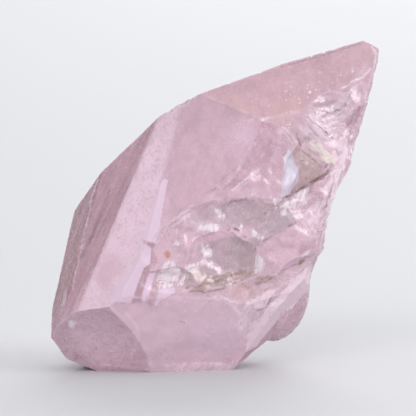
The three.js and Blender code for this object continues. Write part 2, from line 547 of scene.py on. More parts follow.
@dataclass(frozen=True)
class Relief:
    """The fine relief of the crystal's skin, in mm. The solid has the large forms."""

    etch_height: float = 0.03
    etch_size: float = 0.9
    growth_height: float = 0.05
    growth_spacing: float = 1.5
    growth_length: float = 0.10
    shard_slope: float = 0.12
    shard_size: float = 2.6
    shard_bend: float = 0.3
    shard_middle: float = 0.6
    warp_reach: float = 0.9
    warp_size: float = 3.2
    chip_depth: float = 0.35
    chip_size: float = 1.3
    chip_share: Span = (0.05, 0.5)
    sound_chips: float = 0.1
    sway_height: float = 0.12
    sway_size: float = 7.0
    ripple_height: float = 0.16
    ripple_spacing: float = 2.3
    ripple_waver: float = 0.8
    seed: float = 4.0
    crisp_angle: float = math.radians(24)

    def sizes(self) -> dict[str, float]:
        """Give the tree's inputs their sizes.

        Returns:
            The values by the inputs' names, in metres where they are lengths.
        """
        return {
            "Etch Height": self.etch_height * MM,
            "Etch Size": self.etch_size * MM,
            "Growth Height": self.growth_height * MM,
            "Growth Spacing": self.growth_spacing * MM,
            "Growth Length": self.growth_length,
            "Shard Slope": self.shard_slope,
            "Shard Size": self.shard_size * MM,
            "Warp Reach": self.warp_reach * MM,
            "Warp Size": self.warp_size * MM,
            "Chip Depth": self.chip_depth * MM,
            "Chip Size": self.chip_size * MM,
            "Sway Height": self.sway_height * MM,
            "Sway Size": self.sway_size * MM,
            "Ripple Height": self.ripple_height * MM,
            "Ripple Spacing": self.ripple_spacing * MM,
            "Seed": self.seed,
        }

    def tree(self) -> bpy.types.NodeTree:
        """Build the node tree that raises the relief along the surface's normal.

        Returns:
            The tree, with a named input for each size and one for the material.
        """
        tree = bpy.data.node_groups.new("crystal_skin", "GeometryNodeTree")
        face = tree.interface
        face.new_socket("Geometry", in_out="INPUT", socket_type="NodeSocketGeometry")
        face.new_socket("Geometry", in_out="OUTPUT", socket_type="NodeSocketGeometry")
        for name in self.sizes():
            face.new_socket(name, in_out="INPUT", socket_type="NodeSocketFloat")
        face.new_socket("Finish", in_out="INPUT", socket_type="NodeSocketMaterial")
        w = Wiring(tree)
        w.given = w.put("NodeGroupInput", {}, {}).outputs
        w.place = w.put("GeometryNodeInputPosition", {}, {}).outputs[0]
        normal = w.put("GeometryNodeInputNormal", {}, {}).outputs[0]
        height = self._etching(w)
        for raise_more in (self._growth, self._shards, self._ripples, self._chips, self._sway):
            height = w.sum("ADD", height, raise_more(w))
        height = w.sum("ADD", height, self._share(w, "lift"))
        raised = w.vector("SCALE", normal, scale=height)
        offset = w.vector("ADD", raised, self._warp(w))
        moved = w.put("GeometryNodeSetPosition", {}, {"Geometry": w.given[0], "Offset": offset})
        smooth = w.put("GeometryNodeSetShadeSmooth", {}, {0: moved.outputs[0]})
        real = w.put("GeometryNodeRealizeInstances", {}, {0: smooth.outputs[0]})
        finish = {"Geometry": real.outputs[0], "Material": w.given["Finish"]}
        dressed = w.put("GeometryNodeSetMaterial", {}, finish)
        w.put("NodeGroupOutput", {}, {0: dressed.outputs[0]})
        return tree

    def _share(self, w: Wiring, name: str) -> Any:
        """The socket of a share that the mesh carries at its points."""
        node = w.put("GeometryNodeInputNamedAttribute", {"data_type": "FLOAT"}, {"Name": name})
        return node.outputs[0]

    def _even(self, w: Wiring, place: Any, size: str, detail: float, shift: float) -> Any:
        """Noise from -1 to 1.

        Args:
            w: The tree's wiring.
            place: The vector that it reads.
            size: The input that holds its size.
            detail: How many finer layers it has.
            shift: Added to the seed.

        Returns:
            The noise's socket.
        """
        scale = w.sum("DIVIDE", 1.0, w.given[size])
        seed = w.sum("ADD", w.given["Seed"], shift)
        inputs = {"Vector": place, "Scale": scale, "Detail": detail, "W": seed}
        soft = w.put("ShaderNodeTexNoise", {"noise_dimensions": "4D"}, inputs).outputs[0]
        return w.sum("MULTIPLY_ADD", soft, 2.0, -1.0)

    def _etching(self, w: Wiring) -> Any:
        """Small pits and hillocks on the etched face.

        Args:
            w: The tree's wiring.

        Returns:
            Their height's socket.
        """
        bumps = self._even(w, w.place, "Etch Size", 2.0, Seed.ETCH)
        share = w.sum("MULTIPLY", self._share(w, "etched"), self._share(w, "open"))
        return w.sum("MULTIPLY", bumps, w.sum("MULTIPLY", w.given["Etch Height"], share))

    def _growth(self, w: Wiring) -> Any:
        """Fine lines that run down the prism's faces.

        Args:
            w: The tree's wiring.

        Returns:
            Their height's socket.
        """
        length = w.vector("DOT_PRODUCT", w.place, PRISM_AXIS)
        squeeze = w.sum("MULTIPLY", length, w.sum("SUBTRACT", w.given["Growth Length"], 1.0))
        stretched = w.vector("ADD", w.place, w.vector("SCALE", PRISM_AXIS, scale=squeeze))
        lines = self._even(w, stretched, "Growth Spacing", 2.0, Seed.GROWTH)
        share = w.sum("MULTIPLY", self._share(w, "grown"), self._share(w, "open"))
        return w.sum("MULTIPLY", lines, w.sum("MULTIPLY", w.given["Growth Height"], share))

    def _shards(self, w: Wiring) -> Any:
        """Small flat facets on the torn breaks.

        Args:
            w: The tree's wiring.

        Returns:
            Their height's socket.
        """
        shift = self._drift(w, "Shard Size", self.shard_bend, Seed.SHARD)
        bent = w.vector("ADD", w.place, shift)
        scale = w.sum("DIVIDE", 1.0, w.given["Shard Size"])
        settings = {"voronoi_dimensions": "4D", "distance": "MANHATTAN"}
        inputs = {"Vector": bent, "Scale": scale, "Detail": 1.0, "W": w.given["Seed"]}
        cells = w.put("ShaderNodeTexVoronoi", settings, inputs).outputs
        rise = w.sum("SUBTRACT", cells["Distance"], self.shard_middle)
        depth = w.sum("MULTIPLY", w.given["Shard Size"], w.given["Shard Slope"])
        share = w.sum("MULTIPLY", depth, self._share(w, "torn"))
        return w.sum("MULTIPLY", rise, share)

    def _drift(self, w: Wiring, size: str, reach: float, shift: float) -> Any:
        """A soft random shift.

        Args:
            w: The tree's wiring.
            size: The input that holds its size.
            reach: How far it goes, as a share of that size.
            shift: The pattern's seed.

        Returns:
            The shift's socket.
        """
        scale = w.sum("DIVIDE", 1.0, w.given[size])
        inputs = {"Vector": w.place, "Scale": scale, "Detail": 1.0, "W": shift}
        soft = w.put("ShaderNodeTexNoise", {"noise_dimensions": "4D"}, inputs).outputs["Color"]
        even = w.vector("SUBTRACT", soft, (NOISE_MIDDLE,) * 3)
        return w.vector("SCALE", even, scale=w.sum("MULTIPLY", w.given[size], 2.0 * reach))

    def _ripples(self, w: Wiring) -> Any:
        """Shell-shaped ripples round the point that a blow struck.

        Args:
            w: The tree's wiring.

        Returns:
            Their height's socket.
        """
        away = self._share(w, "struck")
        waver = self._even(w, w.place, "Shard Size", 2.0, Seed.RIPPLE)
        bent = w.sum("MULTIPLY_ADD", waver, self.ripple_waver * MM, away)
        turns = w.sum("MULTIPLY", w.sum("DIVIDE", bent, w.given["Ripple Spacing"]), math.tau)
        height = w.sum("MULTIPLY", w.given["Ripple Height"], self._share(w, "rippled"))
        return w.sum("MULTIPLY", w.sum("SINE", turns), height)

    def _chips(self, w: Wiring) -> Any:
        """Small bites along the sharp edges, fewer where the stone is sound.

        Args:
            w: The tree's wiring.

        Returns:
            Their height's socket, below 0.
        """
        bite = w.ramp(self._even(w, w.place, "Chip Size", 1.0, Seed.CHIP), *self.chip_share)
        worn = w.sum("MULTIPLY_ADD", self._share(w, "torn"), 1 - self.sound_chips, self.sound_chips)
        depth = w.sum("MULTIPLY", w.sum("MULTIPLY", w.given["Chip Depth"], self._share(w, "edge")), worn)
        return w.sum("MULTIPLY", w.sum("MULTIPLY", bite, depth), -1.0)

    def _sway(self, w: Wiring) -> Any:
        """The slight unevenness of every face.

        Args:
            w: The tree's wiring.

        Returns:
            Its height's socket.
        """
        slow = self._even(w, w.place, "Sway Size", 1.0, Seed.SWAY)
        height = w.sum("MULTIPLY", w.given["Sway Height"], self._share(w, "free"))
        return w.sum("MULTIPLY", slow, height)

    def _warp(self, w: Wiring) -> Any:
        """A sideways drift that makes the rims of the breaks wander.

        Args:
            w: The tree's wiring.

        Returns:
            The drift's socket.
        """
        drift = self._drift(w, "Warp Size", 1.0, Seed.WARP)
        reach = w.sum("DIVIDE", w.given["Warp Reach"], w.given["Warp Size"])
        return w.vector("SCALE", drift, scale=w.sum("MULTIPLY", reach, self._share(w, "loose")))


@dataclass(frozen=True)
class PinkBeryl:
    """The stone's one finish: clear pink beryl under skins that are frosted here and there."""

    edge: Colour = linear(236, 216, 228)
    pale_hair: Colour = linear(240, 222, 232)
    dark_hair: Colour = linear(128, 98, 108)
    olive_hair: Colour = linear(128, 106, 92)
    dark_fleck: Colour = linear(100, 76, 84)
    glint: Colour = linear(240, 222, 234)
    shade: Colour = linear(196, 152, 172)
    depth_colour: Colour = (0.93, 0.62, 0.76)
    depth_density: float = 20.0
    transmission: float = 0.42
    refraction: float = 1.58
    clear_roughness: float = 0.14
    frosted_roughness: float = 0.5
    haze: Speckle = Speckle(1.6, 3.0, 6.0)
    haze_range: Ramp = (0.3, 0.7, -0.12, 0.12)
    # The bare skin, with painted glints and painted shade in fine specks.
    clouds: Speckle = Speckle(2.6, 4.0, 2.0)
    cloud_range: Ramp = (0.3, 0.7, 0.93, 1.06)
    speck_glints: Speckle = Speckle(0.62, 2.0, 12.0)
    glint_share: Ramp = (0.52, 0.68, 0.0, 0.5)
    speck_shade: Ramp = (0.47, 0.34, 0.0, 0.35)
    plain_glints: float = 0.15
    streaks: Speckle = Speckle(1.1, 3.0, 9.0)
    streak_squeeze: float = 0.10
    streak_range: Ramp = (0.32, 0.68, 0.86, 1.12)
    # The stains' rims, and the wisps in the clear windows.
    rim_detail: float = 3.0
    rim_seed: float = 20.0
    rim_share: Span = (0.0, 0.25)
    rim_middle: float = 0.45
    wisp_width: Span = (0.035, 0.008)
    wisp_patches: Span = (0.42, 0.6)
    pale_wisps: tuple[tuple[Grain, float], ...] = ((Grain.FANNED, 0.4), (Grain.RISING, 0.35))
    dark_wisps: tuple[tuple[Grain, float], ...] = ((Grain.LEVEL, 0.3),)
    # The flecks, and the pale edges, partly wear and partly a painted highlight.
    fleck_size: float = 0.9
    fleck_rim: Span = (0.3, 0.18)
    pale_below: float = 0.3
    dark_above: float = 0.6
    worn_edge_and_highlight: float = 0.5
    # The hair lines.
    wobble_size: float = 1.1
    wobble: float = 0.45
    hair_depth: float = 0.15
    hair_core: float = 1.5
    hair_breaks: Speckle = Speckle(1.4, 2.0, 8.0)
    hair_range: Ramp = (0.35, 0.6, 0.35, 1.0)
    # The finest relief.
    sparkle: Speckle = Speckle(0.34, 2.0, 3.0)
    sparkle_height: float = 0.035
    torn_sparkle: float = 0.3
    plain_sparkle: float = 0.04
    shard_size: float = 0.9
    shard_height: float = 0.09

    def material(self, solid: Solid, hairs: dict[str, tuple[Hair, ...]]) -> bpy.types.Material:
        """Build the material.

        Args:
            solid: The solid that carries the hair lines.
            hairs: The hair lines by kind: pale, dark and olive.

        Returns:
            One material for the whole closed stone.
        """
        made = bpy.data.materials.new("pink_beryl")
        made.use_nodes = True
        w = Wiring(made.node_tree)
        w.tree.nodes.clear()
        w.place = w.put("ShaderNodeTexCoord", {}, {}).outputs["Object"]
        names = ("frost", "edge", "etched", "grown", "torn", "glassy", "pale_flecks", "dark_flecks")
        w.given = {name: self._attribute(w, name, "Fac") for name in names}
        colour = self._washes(w, self._skin(w))
        bent = self._wobbled(w)
        for kind, lines in hairs.items():
            drawn = self._hairs(w, bent, solid, lines)
            colour = w.blend(drawn, colour, getattr(self, kind + "_hair"))
        colour = self._flecks(w, colour)
        shader = w.put(
            "ShaderNodeBsdfPrincipled",
            {},
            {
                "Base Color": colour,
                "Roughness": self._roughness(w),
                "Normal": self._normal(w),
                "Metallic": 0.0,
                "IOR": self.refraction,
                "Transmission Weight": self.transmission,
            },
        )
        depths = {"Color": (*self.depth_colour, 1.0), "Density": self.depth_density}
        depth = w.put("ShaderNodeVolumeAbsorption", {}, depths)
        ends = {"Surface": shader.outputs[0], "Volume": depth.outputs[0]}
        w.put("ShaderNodeOutputMaterial", {}, ends)
        return made

    def _attribute(self, w: Wiring, name: str, output: str) -> Any:
        """The socket of a value that the mesh carries at its points."""
        return w.put("ShaderNodeAttribute", {"attribute_name": name}, {}).outputs[output]

    def _drawn_out(self, w: Wiring, place: Any, along: Point, squeeze: float) -> Any:
        """Squeeze the place along a direction, so that a pattern is drawn out along it.

        Args:
            w: The material's wiring.
            place: Where the surface is.
            along: The direction.
            squeeze: What is left of a length along it, from 0 to 1.

        Returns:
            The squeezed place's socket.
        """
        size = math.hypot(*along)
        unit = tuple(part / size for part in along)
        change = w.sum("MULTIPLY", w.vector("DOT_PRODUCT", place, unit), squeeze - 1.0)
        return w.vector("ADD", place, w.vector("SCALE", unit, scale=change))

    def _skin(self, w: Wiring) -> Any:
        """Colour the bare skin: soft clouds, the etched face's sparkle in fine specks of painted glints and
        painted shade, and the grown faces' lines.

        Args:
            w: The material's wiring.

        Returns:
            The colour's socket.
        """
        clouds = w.ramp(w.grain(w.place, self.clouds), *self.cloud_range)
        # The faces' tints, which hold painted light and shade.
        colour = w.vector("SCALE", self._attribute(w, "tint", "Color"), scale=clouds)
        # Painted glints and painted shade: light and dark specks, most of them on the etched face.
        fine = w.grain(w.place, self.speck_glints)
        glinting = w.sum("ADD", w.sum("MULTIPLY", w.given["etched"], 1 - self.plain_glints), self.plain_glints)
        light = w.sum("MULTIPLY", w.ramp(fine, *self.glint_share), glinting)
        dark = w.sum("MULTIPLY", w.ramp(fine, *self.speck_shade), glinting)
        colour = w.blend(light, colour, self.glint)
        colour = w.blend(dark, colour, self.shade)
        run = w.grain(self._drawn_out(w, w.place, PRISM_AXIS, self.streak_squeeze), self.streaks)
        streaked = w.vector("SCALE", colour, scale=w.ramp(run, *self.streak_range))
        return w.blend(w.given["grown"], colour, streaked)

    def _washes(self, w: Wiring, colour: Any) -> Any:
        """Lay the stains' colours over the skin, each with its own broken rim, and the wisps.

        Args:
            w: The material's wiring.
            colour: The bare skin's colour.

        Returns:
            The colour's socket.
        """
        grains = {}
        for number, grain in enumerate(Grain):
            size, along, squeeze = grain.value
            drawn = self._drawn_out(w, w.place, along, squeeze) if squeeze < 1 else w.place
            grains[grain] = w.grain(drawn, Speckle(size, self.rim_detail, self.rim_seed + number))
        for stain in Stain:
            wash = stain.value
            share = self._attribute(w, stain.name.lower(), "Fac")
            rough = w.sum("MULTIPLY_ADD", grains[wash.grain], 2.0 * wash.ragged, -wash.ragged)
            carved = w.sum("MULTIPLY_ADD", w.ramp(share, *self.rim_share), rough, share)
            ends = (self.rim_middle - wash.soft, self.rim_middle + wash.soft)
            colour = w.blend(w.ramp(carved, *ends, 0.0, wash.weight), colour, wash.colour)
        for wisps, ink in ((self.pale_wisps, self.pale_hair), (self.dark_wisps, self.dark_hair)):
            for grain, strength in wisps:
                off = w.sum("ABSOLUTE", w.sum("SUBTRACT", grains[grain], NOISE_MIDDLE))
                wisp = w.ramp(off, *self.wisp_width, 0.0, strength)
                there = w.ramp(grains[Grain.BROAD], *self.wisp_patches)
                share = w.sum("MULTIPLY", w.sum("MULTIPLY", wisp, there), w.given["glassy"])
                colour = w.blend(share, colour, ink)
        return colour

    def _flecks(self, w: Wiring, colour: Any) -> Any:
        """Add small pale and dark specks, and the pale edges, which are partly wear and partly a painted
        highlight.

        Args:
            w: The material's wiring.
            colour: The colour so far.

        Returns:
            The colour's socket.
        """
        dots = {"Vector": w.place, "Scale": 1 / (self.fleck_size * MM)}
        cells = w.put("ShaderNodeTexVoronoi", {}, dots).outputs
        fleck = w.ramp(cells["Distance"], *self.fleck_rim)
        pick = w.put("ShaderNodeSeparateColor", {}, {0: cells["Color"]}).outputs
        pale = w.sum("MULTIPLY", fleck, w.sum("LESS_THAN", pick[0], self.pale_below))
        dark = w.sum("MULTIPLY", fleck, w.sum("GREATER_THAN", pick[0], self.dark_above))
        colour = w.blend(w.sum("MULTIPLY", pale, w.given["pale_flecks"]), colour, self.edge)
        colour = w.blend(w.sum("MULTIPLY", dark, w.given["dark_flecks"]), colour, self.dark_fleck)
        # Wear and painted highlight: the sharp outward edges are lightened.
        return w.blend(w.sum("MULTIPLY", w.given["edge"], self.worn_edge_and_highlight), colour, self.edge)

    def _wobbled(self, w: Wiring) -> Any:
        """Shift the place a little, so that hair lines waver.

        Args:
            w: The material's wiring.

        Returns:
            The shifted place's socket.
        """
        inputs = {"Vector": w.place, "Scale": 1 / (self.wobble_size * MM), "Detail": 2.0}
        soft = w.put("ShaderNodeTexNoise", {}, inputs).outputs["Color"]
        shift = w.vector("SUBTRACT", soft, (NOISE_MIDDLE,) * 3)
        return w.vector("ADD", w.place, w.vector("SCALE", shift, scale=2.0 * self.wobble * MM))

    def _hairs(self, w: Wiring, place: Any, solid: Solid, lines: tuple[Hair, ...]) -> Any:
        """Find how strongly the hair lines of one kind colour each place.

        Args:
            w: The material's wiring.
            place: Where the surface is, wavering.
            solid: The solid that carries the lines.
            lines: The lines.

        Returns:
            The share's socket.
        """
        patchy = w.ramp(w.grain(place, self.hair_breaks), *self.hair_range)
        share = 0.0
        for view in View:
            own = [line for line in lines if line.view is view]
            if own:
                out = Direction(*view.value).out
                flat = self._drawn_out(w, place, tuple(out), self.hair_depth)
                share = self._runs(w, flat, solid, own, share)
        return w.sum("MULTIPLY", share, patchy)

    def _runs(self, w: Wiring, place: Any, solid: Solid, lines: list[Hair], share: Any) -> Any:
        """Add the runs of one side's hair lines.

        Args:
            w: The material's wiring.
            place: Where the surface is, flattened towards that side.
            solid: The solid that carries the lines.
            lines: The lines.
            share: How strong the other lines are so far.

        Returns:
            How strong the lines are with these.
        """
        group = bpy.data.node_groups.get("hair_line") or self._hair_group()
        for line in lines:
            out = Direction(*line.view.value).out
            ends = [solid.drop(line.view, across, up)[0] * MM for across, up in line.points]
            ends = [end - out * (end @ out) * (1 - self.hair_depth) for end in ends]
            for start, end in zip(ends, ends[1:]):
                run = end - start
                values = {
                    "So Far": share,
                    "Place": place,
                    "Start": tuple(start),
                    "Back": tuple(-run),
                    "Slope": tuple(run / (run @ run)),
                    "Fall": -self.hair_core * line.strength / (line.width * MM),
                    "Strength": self.hair_core * line.strength,
                }
                share = w.put("ShaderNodeGroup", {"node_tree": group}, values).outputs[0]
        return share

    def _hair_group(self) -> bpy.types.NodeTree:
        """Build the node group that adds one straight run of a hair line to those so far.

        Returns:
            The group. Its fall is how fast the line pales away from the run's middle.
        """
        group = bpy.data.node_groups.new("hair_line", "ShaderNodeTree")
        for name in ("Place", "Start", "Back", "Slope"):
            group.interface.new_socket(name, in_out="INPUT", socket_type="NodeSocketVector")
        for name in ("So Far", "Fall", "Strength"):
            group.interface.new_socket(name, in_out="INPUT", socket_type="NodeSocketFloat")
        group.interface.new_socket("Share", in_out="OUTPUT", socket_type="NodeSocketFloat")
        w = Wiring(group)
        given = w.put("NodeGroupInput", {}, {}).outputs
        step = w.vector("SUBTRACT", given["Place"], given["Start"])
        along = w.vector("DOT_PRODUCT", step, given["Slope"])
        held = w.sum("MAXIMUM", w.sum("MINIMUM", along, 1.0), 0.0)
        away = w.vector("LENGTH", w.vector("ADD", w.vector("SCALE", given["Back"], scale=held), step))
        drawn = w.sum("MULTIPLY_ADD", away, given["Fall"], given["Strength"])
        share = w.sum("MAXIMUM", given["So Far"], w.sum("MINIMUM", drawn, 1.0))
        w.put("NodeGroupOutput", {}, {0: share})
        return group

    def _roughness(self, w: Wiring) -> Any:
        """Leave clean breaks smooth and frosted faces dull.

        Args:
            w: The material's wiring.

        Returns:
            The roughness's socket.
        """
        cloudy = w.ramp(w.grain(w.place, self.haze), *self.haze_range)
        frost = w.sum("ADD", w.given["frost"], cloudy)
        return w.ramp(frost, 0.0, 1.0, self.clear_roughness, self.frosted_roughness)

    def _normal(self, w: Wiring) -> Any:
        """Add the finest relief, below the mesh's size: sparkle and small shards.

        Args:
            w: The material's wiring.

        Returns:
            The normal's socket.
        """
        fine = w.grain(w.place, self.sparkle)
        weight = w.sum("ADD", w.given["etched"], w.sum("MULTIPLY", w.given["torn"], self.torn_sparkle))
        grit = w.sum("MULTIPLY", fine, w.sum("ADD", weight, self.plain_sparkle))
        cells = {"Vector": w.place, "Scale": 1 / (self.shard_size * MM)}
        shard = w.put("ShaderNodeTexVoronoi", {"distance": "MANHATTAN"}, cells).outputs["Distance"]
        shards = w.sum("MULTIPLY", shard, w.given["torn"])
        height = w.sum("MULTIPLY_ADD", shards, self.shard_height / self.sparkle_height, grit)
        bump = {"Height": height, "Distance": self.sparkle_height * MM, "Strength": 1.0}
        return w.put("ShaderNodeBump", {}, bump).outputs[0]


